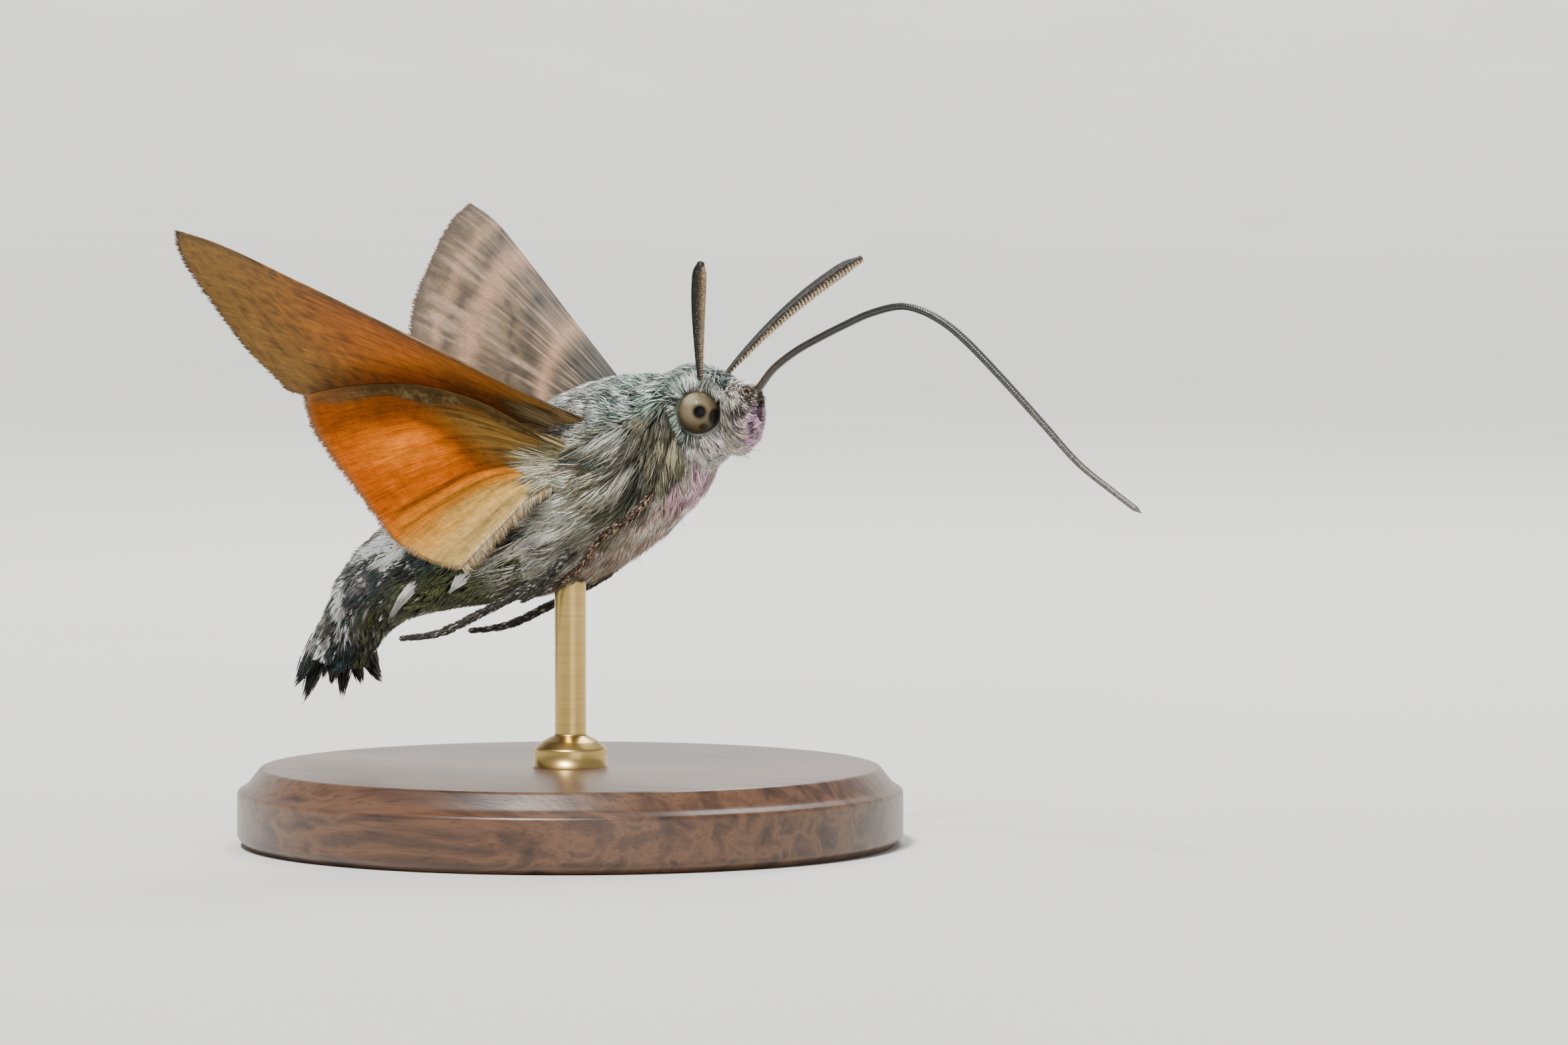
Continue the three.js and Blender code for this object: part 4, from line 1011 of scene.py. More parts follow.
# Veins: where each leaves the root and where it meets the margin, as shares from costa to inner edge
FORE_VEINS = [(0.03, 0.02), (0.1, 0.07), (0.18, 0.15), (0.24, 0.26), (0.3, 0.37), (0.42, 0.48), (0.5, 0.6),
              (0.56, 0.72), (0.64, 0.84), (0.8, 0.94)]
HIND_VEINS = [(0.05, 0.03), (0.14, 0.16), (0.22, 0.3), (0.3, 0.42), (0.4, 0.53), (0.5, 0.64), (0.6, 0.73),
              (0.7, 0.83), (0.84, 0.93)]


def vein_height(veins, u, v, width_v):
    height = np.zeros_like(u)
    for start, end in veins:
        at = start + (end - start) * soft(u, 0, 1.0)
        height = np.maximum(height, np.exp(-((v - at) / width_v) ** 2) * (1 - 0.6 * soft(u, 0.5, 1)))
    return height


def wing_grain(u, v, rng):
    """Fine streaks, and cloudy patches of some half a millimetre."""
    cloudy = mottle(u, v, 0.03, 0.05, 41) + 0.6 * mottle(u, v, 0.012, 0.02, 42)
    return ((0.9 + 0.2 * rng.random(u.shape)) * (0.7 + 0.24 * cloudy))[..., None]


# Lines across the forewing's upper side: where, bend and width of the dark ones, and where, slope,
# width and strength of the pale ones
DARK_LINES = ((0.3, 0.03, 0.026), (0.45, -0.04, 0.034), (0.53, -0.05, 0.018), (0.74, 0.05, 0.026))
PALE_LINES = ((0.37, -0.03, 0.03, 0.8), (0.62, 0.06, 0.05, 0.75), (0.8, 0.03, 0.03, 0.5))
# Folds of the hindwing's inner part, darkened along their creases as painted shade: where, slope, width and
# strength
FOLDS = ((0.6, 0.03, 0.015, 0.85), (0.665, 0.025, 0.011, 0.75), (0.8, 0.0, 0.007, 0.35),
         (0.9, 0.0, 0.006, 0.3), (0.52, 0.02, 0.008, 0.4))


def all_over(code, u):
    return np.broadcast_to(linear(code), (*u.shape, 3))


def forewing_under(u, v):
    """Rusty, browner towards the costa, the tip and the root, with fine glowing and dark patches."""
    glow = soft(mottle(u, v, 0.014, 0.03, 43), 0.5, 0.85) * soft(u, 0.12, 0.3) * (1 - soft(u, 0.7, 0.9))
    worn = soft(mottle(u, v, 0.016, 0.04, 44), 0.55, 0.85) * soft(u, 0.3, 0.7)
    return painted(
        all_over("#A0560F", u),
        ("#74400C", 1 - soft(v, 0.02, 0.3)),
        ("#8E5818", soft(-u, -0.45, -0.1)),
        ("#94763C", soft(-u, -0.24, -0.05) * soft(v, 0.0, 0.4)),
        ("#856428", soft(u, 0.5, 0.85) * 0.85),
        ("#6E4C20", soft(u, 0.94, 1.0)),
        ("#C06618", 0.5 * spot(u, v, 0.5, 0.62, 0.2, 0.22)),
        ("#5E4018", soft(-u, -0.45, -0.25) * soft(v, 0.35, 0.6) * 0.7),
        ("#7A5A2A", soft(u, 0.4, 0.75) * 0.55),
        ("#5E4A28", (1 - soft(v, 0.02, 0.1)) * 0.7),
        ("#B86C22", glow * 0.45),
        ("#543212", worn * 0.5))


def forewing_upper(u, v):
    """Grey-brown with wavy dark lines, pale streaks and bands, and a dark spot."""
    wander = 0.05 * (mottle(u, v, 0.08, 0.05, 52) - 0.5)
    streaks = mottle(u, v, 0.2, 0.02, 51)
    return painted(
        all_over("#66543F", u),
        ("#33322B", soft(-u, -0.42, -0.16)),
        *(("#2A241E", np.exp(-((u + bend * np.sin(5 * v) + wander - at) / width) ** 2) * 0.65)
          for at, bend, width in DARK_LINES),
        ("#B79A84", soft(streaks, 0.55, 0.9) * soft(u, 0.12, 0.3) * 0.5),
        ("#332B26", soft(-streaks, -0.4, -0.15) * 0.4),
        *(("#A98468", share * np.exp(-((u - at - slope * v) / width) ** 2))
          for at, slope, width, share in PALE_LINES),
        ("#1E1A16", spot(u, v, 0.49, 0.24, 0.018, 0.05)),
        ("#4A4036", soft(u, 0.88, 1.0) * 0.8))


def forewing_tones(u, v, under, rng):
    return (forewing_under if under else forewing_upper)(u, v) * wing_grain(u, v, rng)


def hindwing_under(u, v):
    """From the costa: a dark flecked band, a rusty stretch, the bright field, gold folds with painted shade
    in their creases, a pale end.
    """
    rusty = (1 - soft(v, 0.17, 0.33)) + (
        (1 - soft(u + 0.35 * (v - 0.3), 0.5, 0.66)) * (1 - soft(v, 0.55, 0.62)))
    veined = (1 - soft(u + 0.4 * (v - 0.2), 0.38, 0.62)) * soft(v, 0.06, 0.16)
    rays = mottle(u, v, 0.16, 0.012, 48)
    band = 1 - soft(v + 0.02 * np.sin(20 * u) + 0.05 * soft(u, 0.6, 0.95), 0.09, 0.14)
    flecks = soft(0.7 * mottle(u, v, 0.008, 0.012, 45) + 0.5 * mottle(u, v, 0.05, 0.03, 46), 0.55, 0.95)
    return painted(
        all_over("#E87200", u),
        ("#FF8C14", 0.6 * spot(u, v, 0.74, 0.36, 0.16, 0.08)),
        ("#FF8C18", soft(mottle(u, v, 0.3, 0.018, 49), 0.55, 0.9) * 0.4),
        ("#B84A04", soft(mottle(u, v, 0.24, 0.014, 50), 0.55, 0.9) * 0.5),
        ("#C85C08", soft(u, 0.76, 0.96) * 0.7),
        ("#D06000", soft(v, 0.42, 0.58) * 0.6),
        ("#824209", np.clip(rusty, 0, 1) * (1 - 0.25 * soft(u, 0.7, 0.95))),
        ("#7C5E2C", veined * 0.92),
        ("#3C2C10", veined * soft(rays, 0.55, 0.8) * 0.8),
        ("#C8AC70", veined * soft(-rays, -0.35, -0.15) * (1 - soft(u, 0.1, 0.35)) * 0.5),
        ("#4A3618", band),
        ("#7E7050", band * flecks * (1 - 0.7 * soft(u, 0.6, 0.95)) * soft(v, 0.01, 0.05) * 0.55),
        ("#8A5830", band * soft(u, 0.74, 0.95) * 0.8),
        ("#C8781C", soft(v, 0.61, 0.65) * (1 - 0.5 * soft(u, 0.6, 0.9))),
        ("#D0A050", soft(v, 0.68, 0.74)),
        ("#D4AE68", soft(v, 0.8, 0.9)),
        ("#E08820", spot(u, v, 0.86, 0.72, 0.12, 0.1) * 0.6),
        # Painted shade along the creases of the folds
        *(("#5A3A10", share * np.exp(-((v - at - slope * (u - 0.5)) / width) ** 2)
           * soft(u, 0.05, 0.2) * (1 - soft(u, 0.86, 0.98))) for at, slope, width, share in FOLDS),
        ("#BCB490", (1 - soft(u, 0.06, 0.28)) * soft(v, 0.2, 0.6) * 0.85),
        ("#B8A47C", soft(v, 0.955, 1.0) * 0.7),
        ("#A0683A", soft(u, 0.95, 0.995) * (1 - soft(v, 0.55, 0.7)) * 0.7))


def hindwing_upper(u, v):
    """Orange, with a brown border and a brown costa."""
    return painted(
        all_over("#E87200", u),
        ("#7A3E12", soft(u, 0.84, 0.97)),
        ("#7A5A30", soft(-u, -0.22, -0.05)),
        ("#4E3E22", 1 - soft(v, 0.04, 0.14)))


def hindwing_tones(u, v, under, rng):
    return (hindwing_under if under else hindwing_upper)(u, v) * wing_grain(u, v, rng)


def wing_finish(name, sheen):
    """Wing scales: rows of tiny shingles over a thin membrane, dull with a silky gleam along the veins."""
    made, tree, principled = material(name, Roughness=0.6, Specular_IOR_Level=sheen)
    tone = node(tree, "ShaderNodeAttribute", attribute_name="tone").outputs["Color"]
    uv = node(tree, "ShaderNodeUVMap", uv_map="Wing").outputs["UV"]
    # The map is in units of the wing's length, so streaks run from root to margin
    streaks = node(tree, "ShaderNodeMapping", {"Vector": uv, "Scale": (9, 140, 1)}).outputs["Vector"]
    rows = node(tree, "ShaderNodeMapping", {"Vector": uv, "Scale": (210, 120, 1)}).outputs["Vector"]
    fine = node(tree, "ShaderNodeTexNoise", {
        "Vector": streaks, "Scale": 1, "Detail": 4, "Roughness": 0.65})
    scales = node(tree, "ShaderNodeTexVoronoi", {"Vector": rows, "Scale": 1.0, "Randomness": 0.7})
    value = node(tree, "ShaderNodeMapRange", {
        "Value": fine.outputs["Fac"], "From Min": 0.3, "From Max": 0.7, "To Min": 0.6, "To Max": 1.35})
    speck = node(tree, "ShaderNodeMapRange", {
        "Value": scales.outputs["Distance"], "From Min": 0, "From Max": 0.9, "To Min": 1.12,
        "To Max": 0.82})
    both = node(tree, "ShaderNodeMath", {0: value.outputs["Result"], 1: speck.outputs["Result"]},
                operation="MULTIPLY")
    shaded = node(tree, "ShaderNodeVectorMath", {0: tone, 1: both.outputs["Value"]}, operation="MULTIPLY")
    joined(tree, principled, shaded.outputs["Vector"], node(tree, "ShaderNodeBump", {
        "Height": scales.outputs["Distance"], "Distance": 0.02 * MM, "Strength": 0.5}))
    return made


fore_finish = wing_finish("forewing_scales", 0.2)
hind_finish = wing_finish("hindwing_scales", 0.05)


WING_GRID = 120, 78  # rows from root to margin, and columns from costa to inner edge
WING_EDGE, WING_SHEET, VEIN = 0.035, 0.02, 0.035  # half thicknesses: the edge, and what is added inside it


def wing(name, side, point, veins, tones, pleats, root_u, seed):
    """A thin closed sheet with its veins raised on both faces."""
    rng = np.random.default_rng(seed)
    rows, columns = WING_GRID
    u, v = np.meshgrid(np.linspace(root_u, 1, rows), np.linspace(0, 1, columns), indexing="ij")
    normal, _, _ = wing_frame(point, side, u, v)
    vein = vein_height(veins, u, v, 0.012)
    fold = pleats * soft(v, 0.5, 0.66) * np.sin(2 * np.pi * 5.5 * v) * soft(u, 0.05, 0.4) * (1 - 0.4 * u)
    middle = point(side, u, v) + normal * fold[..., None]
    edge = np.minimum(np.minimum(v, 1 - v) * 30, (1 - u) * 40).clip(0, 1)
    half = WING_EDGE + (VEIN * vein + WING_SHEET) * edge
    top, under = middle + normal * half[..., None], middle - normal * half[..., None]
    points = np.concatenate([top.reshape(-1, 3), under.reshape(-1, 3)])
    count = rows * columns
    r, c = np.meshgrid(np.arange(rows - 1), np.arange(columns - 1), indexing="ij")
    a = (r * columns + c).ravel()
    quads = [np.stack([a, a + columns, a + columns + 1, a + 1], -1)]
    quads.append(quads[0][:, ::-1] + count)
    grid = np.arange(count).reshape(rows, columns)
    rim = np.concatenate([grid[:, 0], grid[-1, 1:], grid[-2::-1, -1], grid[0, -2:0:-1]])
    following = np.roll(rim, -1)
    quads.append(np.stack([following, rim, rim + count, following + count], -1))
    tone = np.concatenate([tones(u, v, below, rng).reshape(-1, 3) for below in (False, True)])
    shade = (1 - 0.25 * vein * (1 - soft(u, 0.6, 1))).reshape(-1, 1)
    uv = np.stack([u, v], -1).reshape(-1, 2)
    tone = tone * np.tile(shade, (2, 1))
    return outward(make_mesh(name, points, quads, tone, np.tile(uv, (2, 1)), "Wing"))


def fringe(name, side, point, edges, rng_seed, tones, codes):
    """Fine scales that fringe the wing's margin: like the wing on its outer edge, pale on its inner one."""
    rng = np.random.default_rng(rng_seed)
    paths, normals, uvs, colours = [], [], [], []
    for edge, count, length in edges:
        s = rng.random(count)
        u, v = (np.full(count, 0.995), s) if edge == "outer" else (s, np.full(count, 0.995))
        normal, du, dv = wing_frame(point, side, u, v)
        if edge == "outer":
            out = unit(du) + unit(dv) * rng.normal(0.1, 0.05, (count, 1))
        else:
            out = unit(dv) + unit(du) * rng.normal(0.7, 0.15, (count, 1))
        tilt, turn = rng.normal(0, 0.05, (count, 1)), rng.normal(0, 0.1, (count, 1))
        out = unit(out + normal * tilt + np.cross(normal, out) * turn)
        uneven = 0.8 + 0.3 * mottle(s, 0 * s, 0.009, 1, rng_seed)
        reach = (length * rng.uniform(0.6, 1, count) * uneven)[:, None, None] * SHARES[None, :, None]
        own = pick(codes, [1] * len(codes), rng.random(count))
        colours.append(mix(tones(np.full(count, 0.93), v, True, rng), own, 0.35) if edge == "outer" else own)
        start = point(side, u, v) + normal * rng.normal(0, 0.015, (count, 1))
        paths.append(start[:, None] + out[:, None] * (reach - 0.15))
        normals.append(np.broadcast_to(normal[:, None], paths[-1].shape))
        uvs.append(np.stack([0.05 + 0.9 * s, np.full(count, 0.3 if edge == "outer" else 0.7)], -1))
    path = np.concatenate(paths)
    tone = np.concatenate(colours) * rng.uniform(0.8, 1.15, (len(path), 1))
    return hairs(name, path, np.concatenate(normals), rng.uniform(0.03, 0.05, len(path)),
                 (tone * 0.85, tone), np.concatenate(uvs), 0.25)


def base_hair(name, side, point, count, span_v, length, rng_seed, codes):
    """Hair that runs from the thorax over the wing's root, on both faces."""
    rng = np.random.default_rng(rng_seed)
    u = rng.uniform(0.0, 0.1, count) ** 1.3
    v = rng.uniform(*span_v, count)
    face = rng.choice((-1, -1, 1), count)
    reach = length * rng.uniform(0.4, 1, count) * (0.4 + 0.6 * soft(v, 0.25, 0.55))
    drift = rng.normal(0, 0.05, count)
    arch = rng.uniform(0.05, 0.16, count)
    path, normals = [], []
    for s in SHARES:
        at_u, at_v = u + reach * s, np.clip(v + drift * s + (v - 0.5) * 0.1 * s, 0.01, 0.99)
        normal = wing_frame(point, side, at_u, at_v)[0]
        height = face * (0.04 + arch * math.sin(math.pi * (0.15 + 0.8 * s)))
        path.append(point(side, at_u, at_v) + normal * height[:, None])
        normals.append(normal * face[:, None])
    tone = pick(codes, [1] * len(codes), rng.random(count)) * rng.uniform(0.75, 1.2, (count, 1))
    tone = mix(tone, tone * linear("#CDB27A"), (1 - soft(v, 0.25, 0.7)) * 0.8)
    uv = np.stack([0.05 + 0.9 * (v - span_v[0]) / (span_v[1] - span_v[0]), 0.1 + 0.8 * rng.random(count)], -1)
    return hairs(name, np.stack(path, 1), np.stack(normals, 1), rng.uniform(0.035, 0.06, count),
                 (tone * 0.7, tone), uv, 0.3)


for name, side in SIDES.items():
    hand_in(
        wing("forewing_" + name, side, forewing_point, FORE_VEINS, forewing_tones, 0.0, 0.035, 20 + side),
        fore_finish, "forewings", "forewing_" + name)
    hand_in(
        wing("hindwing_" + name, side, hindwing_point, HIND_VEINS, hindwing_tones, 0.09, 0.0, 30 + side),
        hind_finish, "hindwings", "hindwing_" + name)
    hand_in(
        fringe("forewing_fringe_" + name, side, forewing_point, [("outer", 1100, 0.55), ("inner", 600, 0.4)],
               40 + side, forewing_tones, ["#6E5236", "#82684A", "#4E3A26"]), hair, "forewings")
    hand_in(
        fringe("hindwing_fringe_" + name, side, hindwing_point, [("outer", 1300, 0.55), ("inner", 700, 1.05)],
               50 + side, hindwing_tones, ["#D8C6A0", "#E8DEC8", "#B08C5C", "#C4A070"]), hair, "hindwings")
    hand_in(
        base_hair("hindwing_base_hair_" + name, side, hindwing_point, 2200, (0.0, 1.0), 0.31, 90 + side,
                  ["#BEBCA0", "#DEDAC2", "#948E70", "#5C5A44"]), hair, "hindwings")
    hand_in(
        base_hair("forewing_base_hair_" + name, side, forewing_point, 1200, (0.0, 1.0), 0.2, 94 + side,
                  ["#7E6A40", "#A8946A", "#5A4826"]), hair, "forewings")


# Helpers: Geometry Nodes
def group(name, inputs, build):
    """A node tree with named inputs. build links it up and returns the last geometry socket."""
    tree = bpy.data.node_groups.new(name, "GeometryNodeTree")
    tree.interface.new_socket("Geometry", in_out="INPUT", socket_type="NodeSocketGeometry")
    for key, kind in inputs.items():
        tree.interface.new_socket(key, in_out="INPUT", socket_type="NodeSocket" + kind)
    tree.interface.new_socket("Geometry", in_out="OUTPUT", socket_type="NodeSocketGeometry")
    given = tree.nodes.new("NodeGroupInput").outputs
    real = node(tree, "GeometryNodeRealizeInstances", {"Geometry": build(tree, given)}).outputs["Geometry"]
    smooth = node(tree, "GeometryNodeSetShadeSmooth", {"Geometry": real}).outputs["Geometry"]
    finish = node(tree, "GeometryNodeSetMaterial", {"Geometry": smooth, "Material": given["Material"]})
    node(tree, "NodeGroupOutput", {"Geometry": finish.outputs["Geometry"]})
    return tree


def grown(carrier, tree, values):
    """The mesh that a node tree makes of a carrier, which is then plain."""
    modifier = carrier.modifiers.new("grown", "NODES")
    modifier.node_group = tree
    sockets = {s.name: s.identifier for s in tree.interface.items_tree if s.in_out == "INPUT"}
    for key, value in values.items():
        modifier[sockets[key]] = value
    bpy.context.view_layer.update()
    made = bpy.data.meshes.new_from_object(carrier.evaluated_get(bpy.context.evaluated_depsgraph_get()))
    piece = bpy.data.objects.new(carrier.name + "_made", made)
    name = carrier.name
    bpy.data.objects.remove(carrier)
    piece.name = name
    bpy.context.scene.collection.objects.link(piece)
    return piece


def line_object(name, points, radii):
    """A poly curve in metres, with a radius at each point in millimetres."""
    curve = bpy.data.curves.new(name, "CURVE")
    curve.dimensions = "3D"
    line = curve.splines.new("POLY")
    line.points.add(len(points) - 1)
    for p, co, r in zip(line.points, place(points), radii):
        p.co = (*co, 1)
        p.radius = r * MM
    piece = bpy.data.objects.new(name, curve)
    bpy.context.scene.collection.objects.link(piece)
    return piece


def ringed(tree, given):
    """Cup-shaped segments along a curve, each a little wider at its far end."""
    line = node(tree, "GeometryNodeResampleCurve", {"Curve": given["Geometry"], "Count": given["Segments"]})
    spots = node(tree, "GeometryNodeCurveToPoints", {"Curve": line.outputs["Curve"]}, mode="EVALUATED")
    cup = node(tree, "GeometryNodeMeshCone", {
        "Vertices": 20, "Side Segments": 1, "Radius Top": 1.0, "Radius Bottom": given["Waist"],
        "Depth": 1.0})
    radius = node(tree, "GeometryNodeInputRadius").outputs["Radius"]
    size = node(tree, "ShaderNodeCombineXYZ", {
        "X": radius, "Y": radius, "Z": given["Length"]}).outputs["Vector"]
    return node(tree, "GeometryNodeInstanceOnPoints", {
        "Points": spots.outputs["Points"], "Instance": cup.outputs["Mesh"],
        "Rotation": spots.outputs["Rotation"], "Scale": size}).outputs["Instances"]


def needled(tree, given):
    """A needle on each vertex of a mesh, along its way attribute."""
    needle = node(tree, "GeometryNodeMeshCone", {
        "Vertices": 4, "Side Segments": 1, "Radius Top": 0.12, "Radius Bottom": 1.0, "Depth": 1.0})
    way = node(tree, "GeometryNodeInputNamedAttribute", {"Name": "way"}, data_type="FLOAT_VECTOR")
    turn = node(tree, "FunctionNodeAlignRotationToVector", {"Vector": way.outputs["Attribute"]}, axis="Z")
    vary = node(tree, "FunctionNodeRandomValue", {2: given["Least"], 3: 1.0, "Seed": given["Seed"]})
    length = node(tree, "ShaderNodeMath", {0: vary.outputs[1], 1: given["Length"]}, operation="MULTIPLY")
    size = node(tree, "ShaderNodeCombineXYZ", {
        "X": given["Width"], "Y": given["Width"], "Z": length.outputs["Value"]})
    spots = node(tree, "GeometryNodeMeshToPoints", {"Mesh": given["Geometry"]})
    return node(tree, "GeometryNodeInstanceOnPoints", {
        "Points": spots.outputs["Points"], "Instance": needle.outputs["Mesh"],
        "Rotation": turn.outputs["Rotation"], "Scale": size.outputs["Vector"]}).outputs["Instances"]


ringed_tree = group("ringed_feeler", {
    "Segments": "Int", "Waist": "Float", "Length": "Float", "Material": "Material"}, ringed)
needle_tree = group("needles", {
    "Length": "Float", "Width": "Float", "Least": "Float", "Seed": "Int", "Material": "Material"}, needled)


def needles(name, points, ways, finish, length, width, seed):
    """A needle at each point, made by the needle tree, at least half as long as the longest."""
    mesh = bpy.data.meshes.new(name)
    mesh.vertices.add(len(points))
    mesh.vertices.foreach_set("co", place(points).ravel())
    way = mesh.attributes.new("way", "FLOAT_VECTOR", "POINT")
    way.data.foreach_set("vector", np.asarray(ways).ravel())
    piece = bpy.data.objects.new(name, mesh)
    bpy.context.scene.collection.objects.link(piece)
    return grown(piece, needle_tree, {
        "Length": length * MM, "Width": width * MM, "Least": 0.5, "Seed": seed, "Material": finish})


# Antennae: ringed clubs with a pale bristly front edge
def antenna_finish():
    """Antennal cuticle: dark and satin, its rings dusted with pale scales on the front and outer edge."""
    made, tree, principled = material("antenna_cuticle", Roughness=0.42, Specular_IOR_Level=0.5)
    normal = node(tree, "ShaderNodeNewGeometry").outputs["Normal"]
    where = node(tree, "ShaderNodeTexCoord").outputs["Object"]
    front = node(tree, "ShaderNodeVectorMath", {0: normal, 1: (0.9, 0, -0.43)}, operation="DOT_PRODUCT")
    speck = node(tree, "ShaderNodeTexNoise", {
        "Vector": where, "Scale": 1 / (0.09 * MM), "Detail": 3}).outputs["Fac"]
    # Rings across the shaft, drawn a little coarser than the real ones so that they show
    both_sides = node(tree, "ShaderNodeVectorMath", {0: where}, operation="ABSOLUTE").outputs["Vector"]
    wave = unit(ANTENNA["reach"]) * (2 * math.pi / (ANTENNA["ring"] * MM))
    along = node(tree, "ShaderNodeVectorMath", {0: both_sides, 1: wave}, operation="DOT_PRODUCT")
    ring = node(tree, "ShaderNodeMath", {0: along.outputs["Value"]}, operation="SINE").outputs["Value"]
    value = node(tree, "ShaderNodeMath", {0: speck, 1: 0.9, 2: front.outputs["Value"]},
                 operation="MULTIPLY_ADD")
    value = node(tree, "ShaderNodeMath", {0: ring, 1: 0.24, 2: value.outputs["Value"]},
                 operation="MULTIPLY_ADD")
    value = node(tree, "ShaderNodeMath", {0: value.outputs["Value"], 1: 0.66}, operation="SUBTRACT")
    colour = node(tree, "ShaderNodeValToRGB", {"Fac": value.outputs["Value"]}, [
        (0.0, "#15140E"), (0.3, "#25221A"), (0.5, "#40301F"), (0.68, "#86684C"), (0.84, "#D0B894")])
    joined(tree, principled, colour.outputs["Color"], node(tree, "ShaderNodeBump", {
        "Height": speck, "Distance": 0.01 * MM, "Strength": 1.0}))
    return made


antenna_cuticle = antenna_finish()
# Bristles: fine and stiff, pale ones on the antennae and dark ones on the legs
pale_bristle, _, _ = material("pale_bristle", Base_Color=rgba("#D9CBA4"), Roughness=0.5)
dark_bristle, _, _ = material("dark_bristle", Base_Color=rgba("#2C2620"), Roughness=0.45)


def antenna(name, side):
    """The shaft, and bristles along its front edge."""
    turn = np.array([1, side, 1])
    socket, reach, bow = (ANTENNA[k] * turn for k in ("socket", "reach", "bow"))
    s = np.linspace(0, 1, 120)
    points = socket + reach * s[:, None] + bow * 4 * s[:, None] * (1 - s[:, None])
    points = points + ANTENNA["hook"] * soft(s, 0.93, 1.0)[:, None]
    radii = spline(np.array(ANTENNA["radii"])[:, None], s * (len(ANTENNA["radii"]) - 1))[:, 0]
    length = np.linalg.norm(reach) / ANTENNA["segments"] * ANTENNA["overlap"]
    piece = grown(line_object("antenna_" + name, points, radii), ringed_tree, {
        "Segments": ANTENNA["segments"], "Waist": 0.78, "Length": length * MM,
        "Material": antenna_cuticle})
    hand_in(piece, antenna_cuticle, "antennae", "antenna_" + name)

    rng = np.random.default_rng(60 + side)
    count = ANTENNA["bristles"]
    at = rng.uniform(0.12, 0.97, count)
    along = unit(reach)
    front = np.array([0.86, 0.2 * side, -0.45])
    front = unit(front - along * (front @ along))
    angle = np.radians(rng.normal(0, 34, count))[:, None]
    out = front * np.cos(angle) + np.cross(along, front) * np.sin(angle)
    roots = between(at, s, points) + out * np.interp(at, s, radii)[:, None] * 0.9
    hand_in(needles("antenna_bristles_" + name, roots, unit(out + 0.5 * along), pale_bristle,
                    0.15, 0.012, 61 + side), pale_bristle, "antennae")


for name, side in SIDES.items():
    antenna(name, side)


# Proboscis: two half tubes zipped together, ringed all along
PROBOSCIS_STEPS, PROBOSCIS_SIDES = 620, 20
PROBOSCIS_RING = 0.14  # drawn coarser than the real rings so that they show


def proboscis_finish():
    """Proboscis cuticle: smooth and glossy, brown at its root, near black, and paler towards the tip."""
    made, tree, principled = material("proboscis_cuticle", Roughness=0.3, Specular_IOR_Level=0.6,
                                      Coat_Weight=0.15)
    where = node(tree, "ShaderNodeTexCoord").outputs["Object"]
    x = node(tree, "ShaderNodeSeparateXYZ", {"Vector": where}).outputs["X"]
    start = place([9.0, 0, 0])[0]
    along = node(tree, "ShaderNodeMapRange", {
        "Value": x, "From Min": start, "From Max": start + 22 * MM}).outputs["Result"]
    speck = node(tree, "ShaderNodeTexNoise", {
        "Vector": where, "Scale": 1 / (0.12 * MM), "Detail": 3}).outputs["Fac"]
    value = node(tree, "ShaderNodeMath", {0: along, 1: speck}, operation="ADD")
    value = node(tree, "ShaderNodeMath", {0: value.outputs["Value"], 1: 0.5}, operation="SUBTRACT")
    colour = node(tree, "ShaderNodeValToRGB", {"Fac": value.outputs["Value"]}, [
        (0.0, "#33220F"), (0.1, "#0E110C"), (0.45, "#191C17"), (0.75, "#3A3A34"), (1.0, "#5E5C54")])
    joined(tree, principled, colour.outputs["Color"], node(tree, "ShaderNodeBump", {
        "Height": speck, "Distance": 0.006 * MM, "Strength": 1.0}))
    return made


def proboscis():
    line = smooth_line([[x, 0, z] for x, z in PROBOSCIS], PROBOSCIS_STEPS)
    s = np.linspace(0, 1, PROBOSCIS_STEPS)
    radii = 0.2 - 0.045 * soft(s, 0.5, 1.0) - 0.12 * soft(s, 0.985, 1.0)
    radii = radii * (1 + 0.045 * np.cos(2 * np.pi * line[3] * s / PROBOSCIS_RING))
    rings = tube_rings(line, radii, PROBOSCIS_SIDES)
    middle = rings.mean(1, keepdims=True)
    angle = np.linspace(0, 2 * np.pi, PROBOSCIS_SIDES, endpoint=False)
    groove = 1 - 0.16 * np.exp(-((np.cos(angle)) / 0.25) ** 2)
    rings = middle + (rings - middle) * groove[None, :, None] * np.array([1, 1.12, 1])
    piece = outward(make_mesh("proboscis", *loft(rings)))
    hand_in(piece, proboscis_finish(), "proboscis", "proboscis_root", "proboscis_rise",
            "proboscis_arch", "proboscis_tip")


proboscis()


# Legs
LEG_SEGMENTS = {  # shares of the leg at the ends of thigh, shin and the foot's joints
    "foreleg": (0.3, 0.58, 0.7, 0.78, 0.86, 0.93), "midleg": (0.3, 0.6, 0.74, 0.82, 0.89, 0.95),
    "hindleg": (0.22, 0.56, 0.72, 0.8, 0.88, 0.95),
}
LEG_RADIUS = {"foreleg": 0.15, "midleg": 0.17, "hindleg": 0.23}
LEG_STEPS, LEG_SIDES = 150, 14
LEG_SCALES, LEG_SPINES = 1250, 150


def leg_tones(kind, s, x):
    brown = pick(["#4A3426", "#7A5A44", "#20160F", "#D8B08C"], [0.3, 0.2, 0.34, 0.16], x)
    dark = pick(["#2A2A24", "#4A4940", "#141411", "#A8A698"], [0.36, 0.24, 0.24, 0.16], x)
    banded = 0.75 + 0.5 * mottle(s, 0 * s, 0.03, 1, 47)
    return (dark if kind == "hindleg" else mix(brown, dark, soft(s, 0.62, 0.85))) * banded[:, None]


